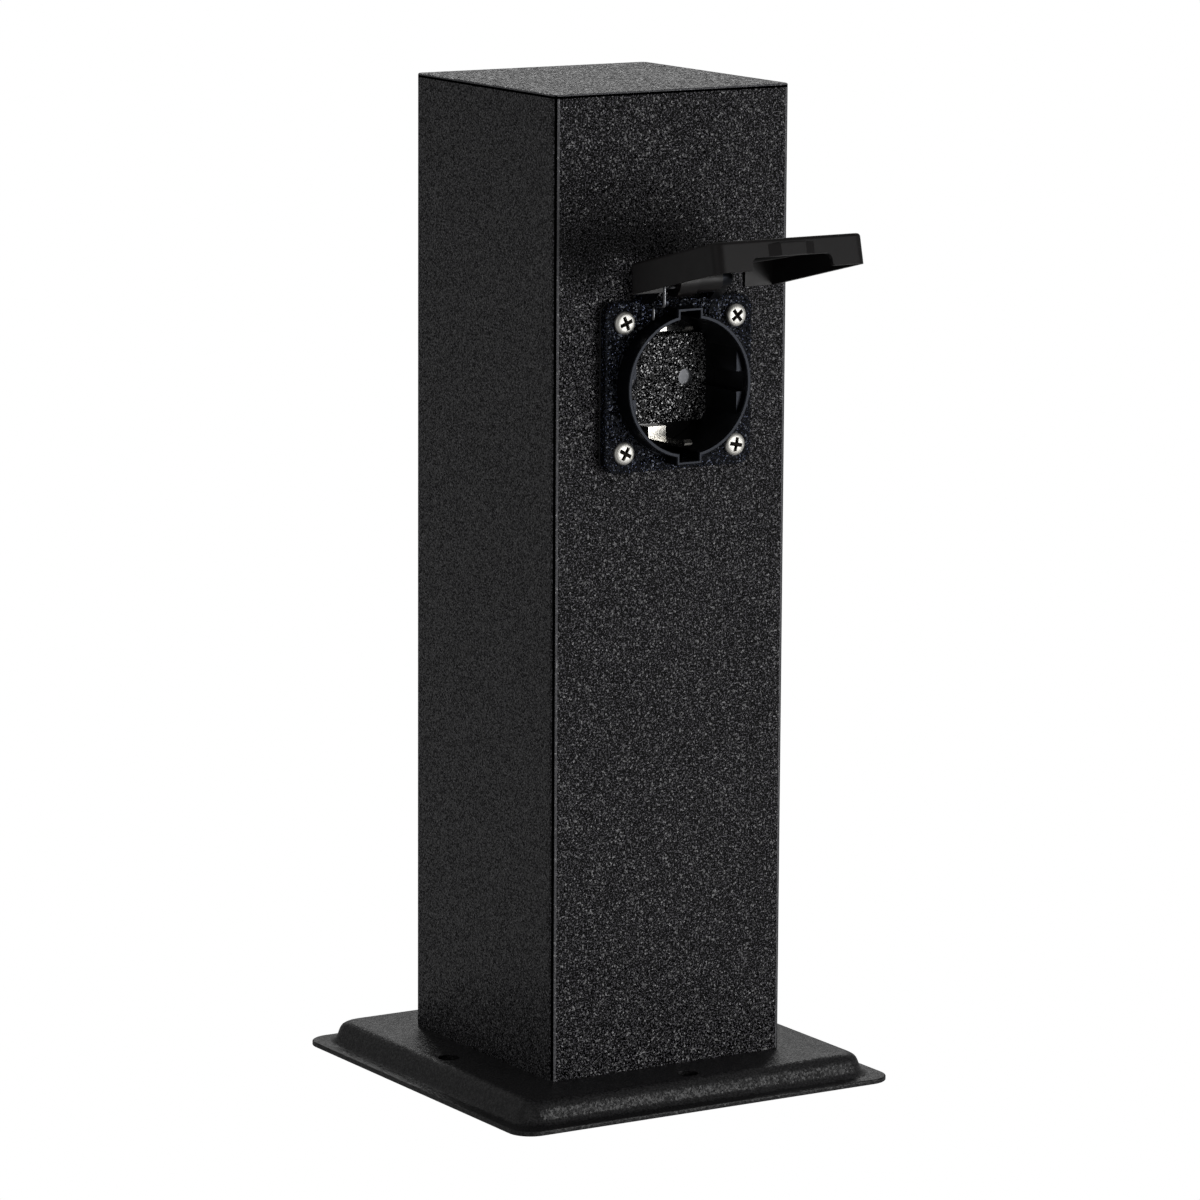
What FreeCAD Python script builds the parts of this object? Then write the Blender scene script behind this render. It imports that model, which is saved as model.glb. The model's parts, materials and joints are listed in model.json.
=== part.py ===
import FreeCAD, Part
import math
import os
import re

import Sketcher
from FreeCAD import Placement, Rotation, Vector

# Garden socket post: a square steel post on a pressed foot plate, with one
# earthed two-pin socket under a hinged splash lid.
# Frame: Z is up, the ground is Z = 0, the socket faces -Y, and X runs to the
# right of somebody who looks at the socket. All lengths are in millimetres.

DRIVING = [
    # post and cap
    ("post_width", 80, "outside of the square post"),
    ("post_height", 290, "length of the post above the foot plate"),
    ("post_wall", 1.5, "sheet of the post"),
    ("post_bend", 1.8, "outer radius of the post's four bends"),
    ("cap_sheet", 1.5, "sheet of the top cap"),
    ("cap_gap", 0.1, "seam between cap and post"),
    ("edge_round", 0.5, "rounding of the post's ground top edge"),
    # foot plate
    ("plate_side", 130, "outside of the foot plate"),
    ("plate_corner", 8, "corner radius of the rim"),
    ("plate_height", 8, "height of the plateau"),
    ("plate_sheet", 1.5, "sheet of the foot plate"),
    ("rim_width", 4.5, "flat rim round the plate"),
    ("step_run", 3.5, "width of the sloping step, seen from above"),
    ("step_corner", 8.5, "corner radius of the plateau"),
    ("rim_bend", 2.5, "hollow bend from rim to step"),
    ("step_bend", 4, "round bend from step to plateau"),
    ("anchor_offset", 51.5, "anchor hole to the middle of the plate"),
    ("anchor_hole", 6.5, "diameter of an anchor hole"),
    # post fixing and cable inlet
    ("bracket_sheet", 2, "sheet of the foot brackets"),
    ("bracket_foot", 18, "length of a bracket's foot"),
    ("bracket_rise", 20, "height of a bracket"),
    ("bracket_width", 44, "width of a bracket"),
    ("foot_screw", 4, "shank diameter of the foot screws"),
    ("foot_screw_head", 7.4, "head diameter of the foot screws"),
    ("foot_screw_head_height", 2.4, "head height of the foot screws"),
    ("foot_screw_length", 6, "length of the foot screws under the head"),
    ("foot_screw_inset", 11, "foot screw to the post's inner wall"),
    ("foot_screw_span", 26, "distance between two foot screws"),
    ("inlet_hole", 20, "hole for the cable grommet"),
    ("inlet_bore", 10, "bore of the cable grommet"),
    ("grommet_lip", 3, "width of the grommet's lips"),
    ("grommet_lip_height", 2, "height of the grommet's lips"),
    # socket frame
    ("socket_height", 212.6, "centre of the socket above the ground"),
    ("gasket_thick", 1, "soft seal under the flange"),
    ("flange_side", 50, "outside of the square flange"),
    ("flange_thick", 3, "thickness of the flange"),
    ("flange_corner", 4, "corner radius of the flange"),
    ("flange_edge", 0.7, "rounding of the flange's front edge"),
    ("screw_span", 38, "distance between two flange screws"),
    ("collar_bore", 39.5, "inside of the round collar"),
    ("collar_wall", 1.25, "wall of the round collar"),
    ("collar_proud", 10, "collar in front of the post"),
    ("collar_edge", 0.25, "bevel of the collar's front edges"),
    ("sleeve_rear", 12, "rear end of the frame's sleeve behind the post's face"),
    ("key_width", 6.6, "width of a keyway"),
    ("key_depth", 2.15, "depth of a keyway beyond the bore"),
    ("key_wall", 1, "wall round a keyway"),
    ("pad_flat", 34.4, "distance between the flats of the guide pads"),
    ("pad_step", 2, "guide pads behind the collar's front"),
    ("pad_gap", 6, "gap in the middle of each guide pad"),
    ("frame_cut", 48.8, "round cut-out in the post"),
    ("boss_span", 44, "distance between the frame's two screw bosses"),
    ("boss_size", 4.4, "diameter of a screw boss"),
    # flange screws
    ("flange_screw", 3.5, "shank diameter of the flange screws"),
    ("flange_screw_head", 6.7, "head diameter of the flange screws"),
    ("flange_screw_crown", 1.9, "head height of the flange screws"),
    ("flange_screw_length", 8, "length of the flange screws under the head"),
    ("screw_play", 0.2, "clearance of a shank in its hole"),
    # plug recess
    ("recess_depth", 17.5, "collar front to recess floor"),
    ("floor_height", 25.8, "height of the raised recess floor"),
    ("clip_pocket", 3, "depth of the pockets above and below the floor"),
    ("carrier_play", 0.15, "clearance of the contact carrier in its bore"),
    ("pin_span", 19, "distance between the two pin holes"),
    ("pin_hole", 5, "diameter of a pin hole"),
    # shutter
    ("floor_skin", 1.2, "floor in front of the shutter"),
    ("shutter_thick", 2.7, "thickness of the shutter"),
    ("shutter_half", 12.2, "half length of the shutter"),
    ("shutter_height", 7.4, "height of the shutter"),
    ("shutter_travel", 5.5, "travel of the shutter"),
    ("shutter_play", 0.3, "clearance round the shutter"),
    ("window_width", 5.6, "window in the shutter"),
    ("spring_line", 5.9, "height of the shutter spring above the middle"),
    ("spring_seat", 8.8, "fixed seat of the shutter spring, left of the middle"),
    ("tab_seat", 2.2, "spring side of the shutter's tab"),
    ("tab_width", 2, "width of the shutter's tab"),
    ("return_radius", 0.7, "mean radius of the shutter spring"),
    ("return_wire", 0.35, "wire of the shutter spring"),
    # contacts
    ("insert_rear", 30, "rear of the insert behind the post's face"),
    ("sleeve_bore", 4.6, "bore of a contact sleeve"),
    ("sleeve_wall", 0.9, "wall of a contact sleeve"),
    ("sleeve_start", 13, "front of a contact sleeve behind the post's face"),
    ("terminal_rear", 27, "rear of the contacts' terminals behind the post's face"),
    ("terminal_depth", 6, "depth of a contact's terminal"),
    ("terminal_width", 5.6, "width of a contact's terminal"),
    ("terminal_low", 13, "low end of a contact's terminal under the middle"),
    ("terminal_screw_drop", 8, "terminal screw under the middle"),
    ("earth_screw_drop", 4, "earth terminal screw under the middle"),
    ("contact_play", 0.4, "clearance round the contacts"),
    ("contact_screw", 2.4, "shank diameter of the contact screws"),
    ("contact_screw_head", 3.2, "head diameter of the contact screws"),
    ("strap_sheet", 0.8, "sheet of the earth strap"),
    ("strap_width", 6, "width of the earth strap"),
    ("strap_tip", 2.6, "width of the earth strap's tips"),
    ("strap_tip_gap", 32.4, "distance between the two tips"),
    ("strap_tip_proud", 9.2, "tips in front of the post's face"),
    ("strap_flare", 0.8, "ends of the tips turned outwards"),
    ("strap_shelf", 36.2, "distance between the two long arms"),
    ("strap_neck", 29.6, "distance between the arms behind the floor"),
    ("strap_rear", 18.8, "cross bar of the strap behind the post's face"),
    ("wire_size", 2.8, "outside of an insulated wire"),
    ("wire_play", 0.1, "clearance round a wire in its terminal"),
    # lid and hinge
    ("lid_width", 50, "width of the lid"),
    ("lid_length", 47.5, "length of the lid"),
    ("lid_depth", 8.8, "height of the lid's skirt"),
    ("lid_wall", 1.5, "wall of the lid"),
    ("lid_corner", 3, "corner radius of the lid"),
    ("lid_edge", 1, "rounding of the lid's outer edge"),
    ("lid_front", 4.8, "lid's outer face in front of the hinge axis"),
    ("hinge_rise", 31.05, "hinge axis above the socket's centre"),
    ("hinge_reach", 8.2, "hinge axis in front of the post's face"),
    ("hinge_end", 8.55, "hinge axis to the near end of the lid"),
    ("open_angle", 103.5, "opening of the lid in degrees"),
    ("finger_width", 26.8, "width of the finger cut-out"),
    ("finger_depth", 3.7, "depth of the finger cut-out"),
    ("finger_round", 2, "corner radius of the finger cut-out"),
    ("grip_base", 15.3, "foot of the raised grip"),
    ("grip_top", 8.2, "top of the raised grip"),
    ("grip_proud", 1.3, "height of the raised grip"),
    ("grip_edge", 0.6, "grip behind the lid's outer face"),
    ("back_gap", 28, "opening in the near wall of the lid"),
    ("back_lean", 1.7, "lean of the near wall towards the hinge"),
    ("barrel_radius", 4.1, "radius of the hinge barrel"),
    ("lobe_radius", 4.9, "radius of the barrel's thick end"),
    ("barrel_left", 5.3, "left end of the barrel from the middle"),
    ("barrel_right", 9.5, "right end of the barrel from the middle"),
    ("apron_end", 5, "hinge axis to the end of the lid's sheet beside the barrel"),
    ("lobe_right", 0.8, "right end of the thick end from the middle"),
    ("ear_inner", 9.8, "inner face of an ear from the middle"),
    ("ear_thick", 3.6, "thickness of an ear"),
    ("ear_radius", 3, "radius of an ear round the pin"),
    ("ear_step", 0.3, "ear in front of the flange"),
    ("pin_size", 2.5, "diameter of the hinge pin"),
    ("pin_play", 0.06, "radial clearance of the barrel on the pin"),
    ("seal_outer", 41.8, "outside of the lid seal"),
    ("seal_inner", 37.6, "inside of the lid seal"),
    ("seal_thick", 1.2, "thickness of the lid seal"),
    # lid spring
    ("coil_wire", 0.9, "wire of the lid spring"),
    ("coil_radius", 2.15, "mean radius of the lid spring"),
    ("coil_left", 9.25, "first turn of the lid spring from the middle"),
    ("coil_right", 6.6, "last turn of the lid spring from the middle"),
    ("coil_bend", 1.2, "bends in the lid spring's legs"),
    ("leg_shelf", 7.45, "hinge axis to the leg's level run"),
    ("leg_end", 11.85, "hinge axis to the leg's low end"),
    ("leg_gap", 0.05, "leg in front of the flange"),
    ("tang_length", 2.2, "spring tang inside the lid's barrel"),
    # terminal block and wiring
    ("block_floor", 104, "underside of the terminal block"),
    ("block_height", 22, "height of the terminal block"),
    ("block_width", 36, "width of the terminal block"),
    ("block_depth", 16, "depth of the terminal block"),
    ("pole_pitch", 12, "distance between two poles"),
    ("clamp_width", 7, "width and depth of a clamp"),
    ("clamp_height", 16, "height of a clamp"),
    ("clamp_back", 19, "back of the clamps from the post's middle"),
    ("clamp_play", 0.1, "clearance round a clamp"),
    ("wire_line", 16, "wires in the block, behind the post's middle"),
    ("clamp_screw", 2.5, "shank diameter of a clamp screw"),
    ("clamp_screw_head", 5, "head diameter of a clamp screw"),
    ("clamp_screw_span", 8, "distance between two clamp screws"),
    ("hat_height", 34, "height of the terminal bracket"),
    ("hat_width", 26, "width of the terminal bracket's raised face"),
    ("hat_sheet", 1.5, "sheet of the terminal bracket"),
    ("hat_flange", 10, "width of the terminal bracket's flanges"),
    ("hat_face", 24, "face of the bracket behind the post's middle"),
    ("block_screw", 3, "shank diameter of the block's screws"),
    ("block_screw_head", 4.2, "head diameter of the block's screws"),
    ("bond_height", 40, "height of the earth stud"),
    ("bond_side", 24, "earth stud to the right of the middle"),
    ("stud_size", 5, "diameter of the earth stud"),
    ("stud_length", 11, "length of the earth stud"),
    ("nut_flats", 8, "width of the earth nut across its flats"),
    ("nut_height", 4, "height of the earth nut"),
    ("lug_sheet", 1, "sheet of the cable lug"),
    ("lug_ring", 10, "outside of the cable lug's ring"),
    ("lug_barrel", 8, "length of the cable lug's barrel"),
]

DOC = FreeCAD.newDocument("GardenSocketPost")
SIZES = DOC.addObject("Spreadsheet::Sheet", "Sizes")
for row, (alias, number, meaning) in enumerate(DRIVING, 1):
    SIZES.set(f"A{row}", meaning)
    SIZES.set(f"B{row}", str(number))
    SIZES.setAlias(f"B{row}", alias)
DOC.recompute()
ALIASES = {alias for alias, number, meaning in DRIVING}

# Lengths that several pieces share, as expressions of the driving dimensions.
# "Forward" lengths are counted from the post's front face towards -Y.
POST_TOP = "plate_height + post_height"
POST_INSIDE = "(post_width / 2 - post_wall)"
FLANGE_FRONT = "(gasket_thick + flange_thick)"
BORE_RADIUS = "(collar_bore / 2)"
COLLAR_RADIUS = "(collar_bore / 2 + collar_wall)"
RECESS_FLOOR = "(collar_proud - recess_depth)"
KEY_REACH = "(collar_bore / 2 + key_depth)"
CARRIER_RADIUS = "(collar_bore / 2 - carrier_play)"
HALF_SPAN = "(screw_span / 2)"
SHUTTER_FRONT = "(recess_depth - collar_proud + floor_skin + shutter_play)"
WIRE_RADIUS = "(wire_size / 2 + wire_play)"
LIVE_LINE = "(terminal_rear - terminal_depth / 2)"
CLAMP_MIDDLE = "(block_floor + block_height / 2)"
SCREW_WELL = "(contact_screw_head / 2 + contact_play)"
SCREW_HEAD = "(boss_size * 0.42)"


def bound(text):
    """An expression with each driving dimension looked up in the sheet."""
    return re.sub(r"[a-z]\w+", lambda m: f"Sizes.{m[0]}" if m[0] in ALIASES else m[0], text)


def value(text):
    """The number that an expression has now."""
    return float(SIZES.evalExpression(bound(text)))


def minus(text):
    """The opposite of an expression."""
    return f"-({text})"


def body(label, forward="0", rise="0", across="0"):
    """A new body whose own origin lies at the given place of the post."""
    made = DOC.addObject("PartDesign::Body", label)
    made.Label = label
    for axis, text in (("x", across), ("y", minus(forward)), ("z", rise)):
        made.setExpression(f"Placement.Base.{axis}", bound(text))
    return made


def socket_body(label):
    """A body whose origin is the socket's centre on the post's front face."""
    return body(label, "post_width / 2", "socket_height")


def hinge_body(label):
    """A body drawn as the closed lid about the hinge axis and turned open."""
    made = body(label, "post_width / 2 + hinge_reach", "socket_height + hinge_rise")
    made.Placement = Placement(Vector(), Rotation(Vector(-1, 0, 0), 1))
    made.setExpression("Placement.Rotation.Angle", bound("open_angle"))
    return made


def sketch_on(owner, plane, offset):
    """A sketch on one of the body's own planes, moved along its normal."""
    sketch = owner.newObject("Sketcher::SketchObject", f"{owner.Name}_sketch")
    support = next(f for f in owner.Origin.OriginFeatures if f.Role == f"{plane}_Plane")
    sketch.AttachmentSupport = [(support, "")]
    sketch.MapMode = "FlatFace"
    sketch.setExpression("AttachmentOffset.Base.z", bound(offset))
    return sketch


def constrain(sketch, text, kind, *places):
    """Add a constraint whose size follows an expression."""
    index = sketch.addConstraint(Sketcher.Constraint(kind, *places, value(text)))
    sketch.setExpression(f"Constraints[{index}]", bound(text))


def pin_point(sketch, shape, point, across, up):
    """Fix a sketch point by two expressions from the sketch's origin."""
    for kind, axis, text in (("DistanceX", -2, across), ("DistanceY", -1, up)):
        if text == "0":
            sketch.addConstraint(Sketcher.Constraint("PointOnObject", shape, point, axis))
        else:
            constrain(sketch, text, kind, -1, 1, shape, point)


def polygon(*corners):
    """An outline through corners given as pairs of expressions."""

    def draw(sketch):
        places = [Vector(value(a), value(b), 0) for a, b in corners]
        first = sketch.GeometryCount
        count = len(places)
        for n, place in enumerate(places):
            sketch.addGeometry(Part.LineSegment(place, places[(n + 1) % count]), False)
        for n in range(count):
            after = first + (n + 1) % count
            sketch.addConstraint(Sketcher.Constraint("Coincident", first + n, 2, after, 1))
        for n, (across, up) in enumerate(corners):
            pin_point(sketch, first + n, 1, across, up)

    return draw


def box(left, right, low, high):
    """A rectangle between two places across and two places up."""
    return polygon((left, low), (right, low), (right, high), (left, high))


def centred_box(half_width, half_height):
    """A rectangle about the sketch's origin."""
    return box(minus(half_width), half_width, minus(half_height), half_height)


def circle(radius, across="0", up="0"):
    """A circle about a place given by expressions."""

    def draw(sketch):
        centre = Vector(value(across), value(up), 0)
        ring = sketch.addGeometry(Part.Circle(centre, Vector(0, 0, 1), value(radius)), False)
        constrain(sketch, radius, "Radius", ring)
        pin_point(sketch, ring, 3, across, up)

    return draw


def hexagon(flats):
    """A hexagon of the given width across its flats, with two corners left and right."""
    reach = f"({flats} / 2 / cos(30))"
    half = f"({reach} / 2)"
    return polygon(
        (reach, "0"),
        (half, f"{flats} / 2"),
        (minus(half), f"{flats} / 2"),
        (minus(reach), "0"),
        (minus(half), minus(f"{flats} / 2")),
        (half, minus(f"{flats} / 2")),
    )


def flatted_circle(radius, flat, upright):
    """A circle cut by two flats, left and right if upright, else above and below."""

    def draw(sketch):
        size, cut = value(radius), value(flat)
        turn = math.acos(cut / size) if upright else math.asin(cut / size)
        ring = Part.Circle(Vector(), Vector(0, 0, 1), size)
        start = turn if upright else -turn
        end = math.pi - turn if upright else turn
        arcs = [
            sketch.addGeometry(Part.ArcOfCircle(ring, start + half, end + half), False)
            for half in (0, math.pi)
        ]
        lines = []
        for arc, other in (arcs, arcs[::-1]):
            from_place = sketch.getPoint(arc, 2)
            to_place = sketch.getPoint(other, 1)
            line = sketch.addGeometry(Part.LineSegment(from_place, to_place), False)
            sketch.addConstraint(Sketcher.Constraint("Coincident", arc, 2, line, 1))
            sketch.addConstraint(Sketcher.Constraint("Coincident", line, 2, other, 1))
            lines.append(line)
        for arc in arcs:
            sketch.addConstraint(Sketcher.Constraint("Coincident", arc, 3, -1, 1))
            constrain(sketch, radius, "Radius", arc)
        kind, steady = ("DistanceX", "Vertical") if upright else ("DistanceY", "Horizontal")
        for line, text in ((lines[0], minus(flat)), (lines[1], flat)):
            sketch.addConstraint(Sketcher.Constraint(steady, line))
            sign = text if upright else (flat if text != flat else minus(flat))
            constrain(sketch, sign, kind, -1, 1, line, 1)

    return draw


def extrude(owner, kind, plane, start, end, outlines):
    """Pad or pocket outlines between two offsets from one of the body's planes."""
    pad = kind == "Pad"
    before = owner.Shape.Volume if owner.Tip else 0
    sketch = sketch_on(owner, plane, start if pad else end)
    for draw in outlines:
        draw(sketch)
    feature = owner.newObject(f"PartDesign::{kind}", f"{owner.Name}_{kind.lower()}")
    feature.Profile = sketch
    feature.setExpression("Length", bound(f"({end}) - ({start})"))
    DOC.recompute()
    gained = owner.Shape.Volume - before
    if (gained > 0) != pad or abs(gained) < 1e-3:
        raise RuntimeError(f"{owner.Label}: {kind} {start} to {end} changed {gained:.3f} mm3")
    return feature


def add(owner, plane, start, end, *outlines):
    """Add material between two offsets."""
    return extrude(owner, "Pad", plane, start, end, outlines)


def cut(owner, plane, start, end, *outlines):
    """Take material away between two offsets."""
    return extrude(owner, "Pocket", plane, start, end, outlines)


def revolve(owner, plane, axis, outline):
    """Turn an outline once round the sketch's H or V axis."""
    sketch = sketch_on(owner, plane, "0")
    outline(sketch)
    feature = owner.newObject("PartDesign::Revolution", f"{owner.Name}_turned")
    feature.Profile = sketch
    feature.ReferenceAxis = (sketch, [f"{axis}_Axis"])
    feature.Angle = 360
    DOC.recompute()
    return feature


def dress_edges(owner, kind, size, text, wanted):
    """Round or bevel the edges of the body's tip for which wanted(edge) is true."""
    tip = owner.Tip
    edges = [f"Edge{n}" for n, edge in enumerate(tip.Shape.Edges, 1) if wanted(edge)]
    feature = owner.newObject(f"PartDesign::{kind}", f"{owner.Name}_{kind.lower()}")
    feature.Base = (tip, edges)
    feature.setExpression(size, bound(text))
    DOC.recompute()
    return feature


def fillet(owner, radius, wanted):
    """Round the wanted edges."""
    return dress_edges(owner, "Fillet", "Radius", radius, wanted)


def bevel(owner, size, wanted):
    """Bevel the wanted edges by an equal size on both faces."""
    return dress_edges(owner, "Chamfer", "Size", size, wanted)


def runs_along(axis):
    """True for a straight edge parallel to the body's X, Y or Z axis."""
    lead = "XYZ".index(axis)

    def test(edge):
        if len(edge.Vertexes) != 2 or edge.Curve.TypeId != "Part::GeomLine":
            return False
        way = edge.tangentAt(edge.FirstParameter)
        return abs(abs(way[lead]) - 1) < 1e-6

    return test


def lies_at(axis, text):
    """True for an edge that lies whole at one offset along the body's axis."""
    lead = "XYZ".index(axis)
    place = value(text)

    def test(edge):
        limits = edge.BoundBox
        low = (limits.XMin, limits.YMin, limits.ZMin)[lead]
        high = (limits.XMax, limits.YMax, limits.ZMax)[lead]
        return abs(low - place) < 1e-4 and abs(high - place) < 1e-4

    return test


def both(first, second):
    """True where both tests are."""
    return lambda edge: first(edge) and second(edge)


def neither(first, second):
    """True where neither test is."""
    return lambda edge: not first(edge) and not second(edge)


def copies(label, master, places, turn=0, turn_step=0):
    """One node of separate, identical solids at places given by expressions.

    The first is turned about Z by turn, and each other one by turn_step more.
    """
    links = []
    for n, place in enumerate(places):
        link = DOC.addObject("App::Link", f"{label}_{n + 1}")
        link.LinkedObject = master
        link.Placement = Placement(Vector(), Rotation(Vector(0, 0, 1), turn + n * turn_step))
        for axis, text in zip("xyz", place):
            link.setExpression(f"Placement.Base.{axis}", bound(text))
        links.append(link)
    group = DOC.addObject("Part::Compound", label)
    group.Label = label
    group.Links = links
    DOC.recompute()
    return group


def feature(label, shape, place=Placement()):
    """A node whose shape is built from edges and wires."""
    made = DOC.addObject("Part::Feature", label)
    made.Label = label
    made.Shape = shape
    made.Placement = place
    return made


# Foot


def plate_section(z, half, radius):
    """A rounded square at one height, as a wire of four lines and four arcs."""
    edges = []
    straight = half - radius
    diagonal = radius / math.sqrt(2)
    for quarter in range(4):
        turn = Rotation(Vector(0, 0, 1), 90 * quarter)
        points = [
            Vector(half, -straight, z),
            Vector(half, straight, z),
            Vector(straight + diagonal, straight + diagonal, z),
            Vector(straight, half, z),
        ]
        side, bend, middle, end = (turn.multVec(p) for p in points)
        edges.append(Part.LineSegment(side, bend).toShape())
        edges.append(Part.Arc(bend, middle, end).toShape())
    return Part.Wire(edges)


def step_solid(low, high, foot, top, foot_radius, top_radius):
    """The sloping step of the foot plate between two rounded squares."""
    sections = [plate_section(low, foot, foot_radius), plate_section(high, top, top_radius)]
    return Part.makeLoft(sections, True, True)


def base_plate():
    """A pressed tray: flat rim, sloping step and plateau, hollow underneath."""
    side, corner, height = value("plate_side / 2"), value("plate_corner"), value("plate_height")
    sheet, rim, run = value("plate_sheet"), value("rim_width"), value("step_run")
    top_radius = value("step_corner")
    rim_solid = Part.Face(plate_section(0, side, corner)).extrude(Vector(0, 0, sheet))
    foot, top = side - rim, side - rim - run
    step = step_solid(sheet, height, foot, top, top_radius + run, top_radius)
    outside = rim_solid.fuse(step).removeSplitter()
    hollow_bend = [e for e in outside.Edges if on_step(e, sheet, foot)]
    outside = outside.makeFillet(value("rim_bend"), hollow_bend)
    round_bend = [e for e in outside.Edges if on_step(e, height, top)]
    outside = outside.makeFillet(value("step_bend"), round_bend)
    # the hollow follows the step at the sheet's thickness, square to its slope
    lean = run / (height - sheet)
    shift = sheet * math.sqrt(1 + lean * lean)
    low_half = foot - shift + lean * sheet
    high_half = top - shift + lean * sheet
    low_radius = top_radius + run - shift + lean * sheet
    high_radius = top_radius - shift + lean * sheet
    hollow = step_solid(0, height - sheet, low_half, high_half, low_radius, high_radius)
    plate = outside.cut(hollow)
    holes = [Part.makeCylinder(value("inlet_hole / 2"), height)]
    for quarter in range(4):
        hole = Part.makeCylinder(value("anchor_hole / 2"), height)
        hole.translate(Vector(value("anchor_offset"), 0, 0))
        hole.rotate(Vector(), Vector(0, 0, 1), 90 * quarter)
        holes.append(hole)
    for x, y in foot_screw_places():
        hole = Part.makeCylinder(value("(foot_screw + screw_play) / 2"), height)
        hole.translate(Vector(value(x), value(y), 0))
        holes.append(hole)
    return feature("base_plate", plate.cut(Part.makeCompound(holes)))


def on_step(edge, z, half):
    """True for an edge of the rounded square at height z with the given half side."""
    limits = edge.BoundBox
    level = abs(limits.ZMin - z) < 1e-4 and abs(limits.ZMax - z) < 1e-4
    reach = max(abs(limits.XMin), abs(limits.XMax), abs(limits.YMin), abs(limits.YMax))
    return level and abs(reach - half) < 1e-4


def foot_screw_places():
    """The four foot screws, as expressions across and back."""
    across = f"({POST_INSIDE} - foot_screw_inset)"
    return [
        (x, y)
        for x in (minus(across), across)
        for y in ("-foot_screw_span / 2", "foot_screw_span / 2")
    ]


def post_shell():
    """A folded square tube with the socket's round cut-out in its front."""
    post = body("post_shell")
    half = "post_width / 2"
    add(post, "XY", "plate_height", POST_TOP, centred_box(half, half))
    fillet(post, "post_bend", runs_along("Z"))
    fillet(post, "edge_round", lies_at("Z", POST_TOP))
    cut(post, "XY", "plate_height", POST_TOP, centred_box(POST_INSIDE, POST_INSIDE))
    # the front wall lies between these two offsets towards -Y
    wall = (POST_INSIDE, half)
    cut(post, "XZ", *wall, circle("frame_cut / 2", "0", "socket_height"))
    screws = [
        circle("flange_screw / 2", x, f"socket_height + {z}")
        for x in (minus(HALF_SPAN), HALF_SPAN)
        for z in (minus(HALF_SPAN), HALF_SPAN)
    ]
    cut(post, "XZ", *wall, *screws)
    return post


def top_cap():
    """The sheet welded flush into the post's top."""
    cap = body("top_cap")
    half = f"({POST_INSIDE} - cap_gap)"
    add(cap, "XY", f"{POST_TOP} - cap_sheet", POST_TOP, centred_box(half, half))
    return cap


def foot_brackets():
    """Two bent angles inside the post, welded to its walls and screwed to the plate."""
    angle = body("foot_bracket")
    half = "bracket_width / 2"
    outline = polygon(
        ("0", "0"),
        ("bracket_foot", "0"),
        ("bracket_foot", "bracket_rise"),
        ("bracket_foot - bracket_sheet", "bracket_rise"),
        ("bracket_foot - bracket_sheet", "bracket_sheet"),
        ("0", "bracket_sheet"),
    )
    add(angle, "XZ", minus(half), half, outline)
    holes = [
        circle("foot_screw / 2", "bracket_foot - foot_screw_inset", y)
        for y in ("-foot_screw_span / 2", "foot_screw_span / 2")
    ]
    cut(angle, "XY", "0", "bracket_sheet", *holes)
    reach = f"({POST_INSIDE} - bracket_foot)"
    places = [(x, "0", "plate_height") for x in (reach, minus(reach))]
    return copies("foot_brackets", angle, places, turn_step=180)


def foot_screws():
    """Four screws that pull the foot brackets onto the plate from below."""
    screw = body("foot_screw_master")
    head, shank = "foot_screw_head / 2", "foot_screw / 2"
    outline = polygon(
        ("0", minus("foot_screw_head_height")),
        (head, minus("foot_screw_head_height")),
        (head, "0"),
        (shank, "0"),
        (shank, "foot_screw_length"),
        ("0", "foot_screw_length"),
    )
    revolve(screw, "XZ", "V", outline)
    seat = "plate_height - plate_sheet"
    return copies("foot_screws", screw, [(x, y, seat) for x, y in foot_screw_places()])


def cable_grommet():
    """The rubber inlet in the foot plate, with a lip on each side of the sheet."""
    ring = body("cable_grommet")
    under, over = "(plate_height - plate_sheet)", "plate_height"
    bore, neck = "inlet_bore / 2", "inlet_hole / 2"
    lip = "inlet_hole / 2 + grommet_lip"
    outline = polygon(
        (bore, f"{under} - grommet_lip_height"),
        (lip, f"{under} - grommet_lip_height"),
        (lip, under),
        (neck, under),
        (neck, over),
        (lip, over),
        (lip, f"{over} + grommet_lip_height"),
        (bore, f"{over} + grommet_lip_height"),
    )
    revolve(ring, "XZ", "V", outline)
    return ring


# Socket frame and what it holds


def screw_holes(diameter):
    """Circles at the flange's four screws."""
    return [
        circle(f"({diameter}) / 2", x, z)
        for x in (minus(HALF_SPAN), HALF_SPAN)
        for z in (minus(HALF_SPAN), HALF_SPAN)
    ]


def socket_gasket():
    """The soft sheet between the flange and the post."""
    seal = socket_body("socket_gasket")
    half = "flange_side / 2"
    add(seal, "XZ", "0", "gasket_thick", centred_box(half, half))
    fillet(seal, "flange_corner", runs_along("Y"))
    cut(seal, "XZ", "0", "gasket_thick", circle("frame_cut / 2"))
    cut(seal, "XZ", "0", "gasket_thick", *screw_holes("flange_screw + screw_play"))
    return seal


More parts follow.
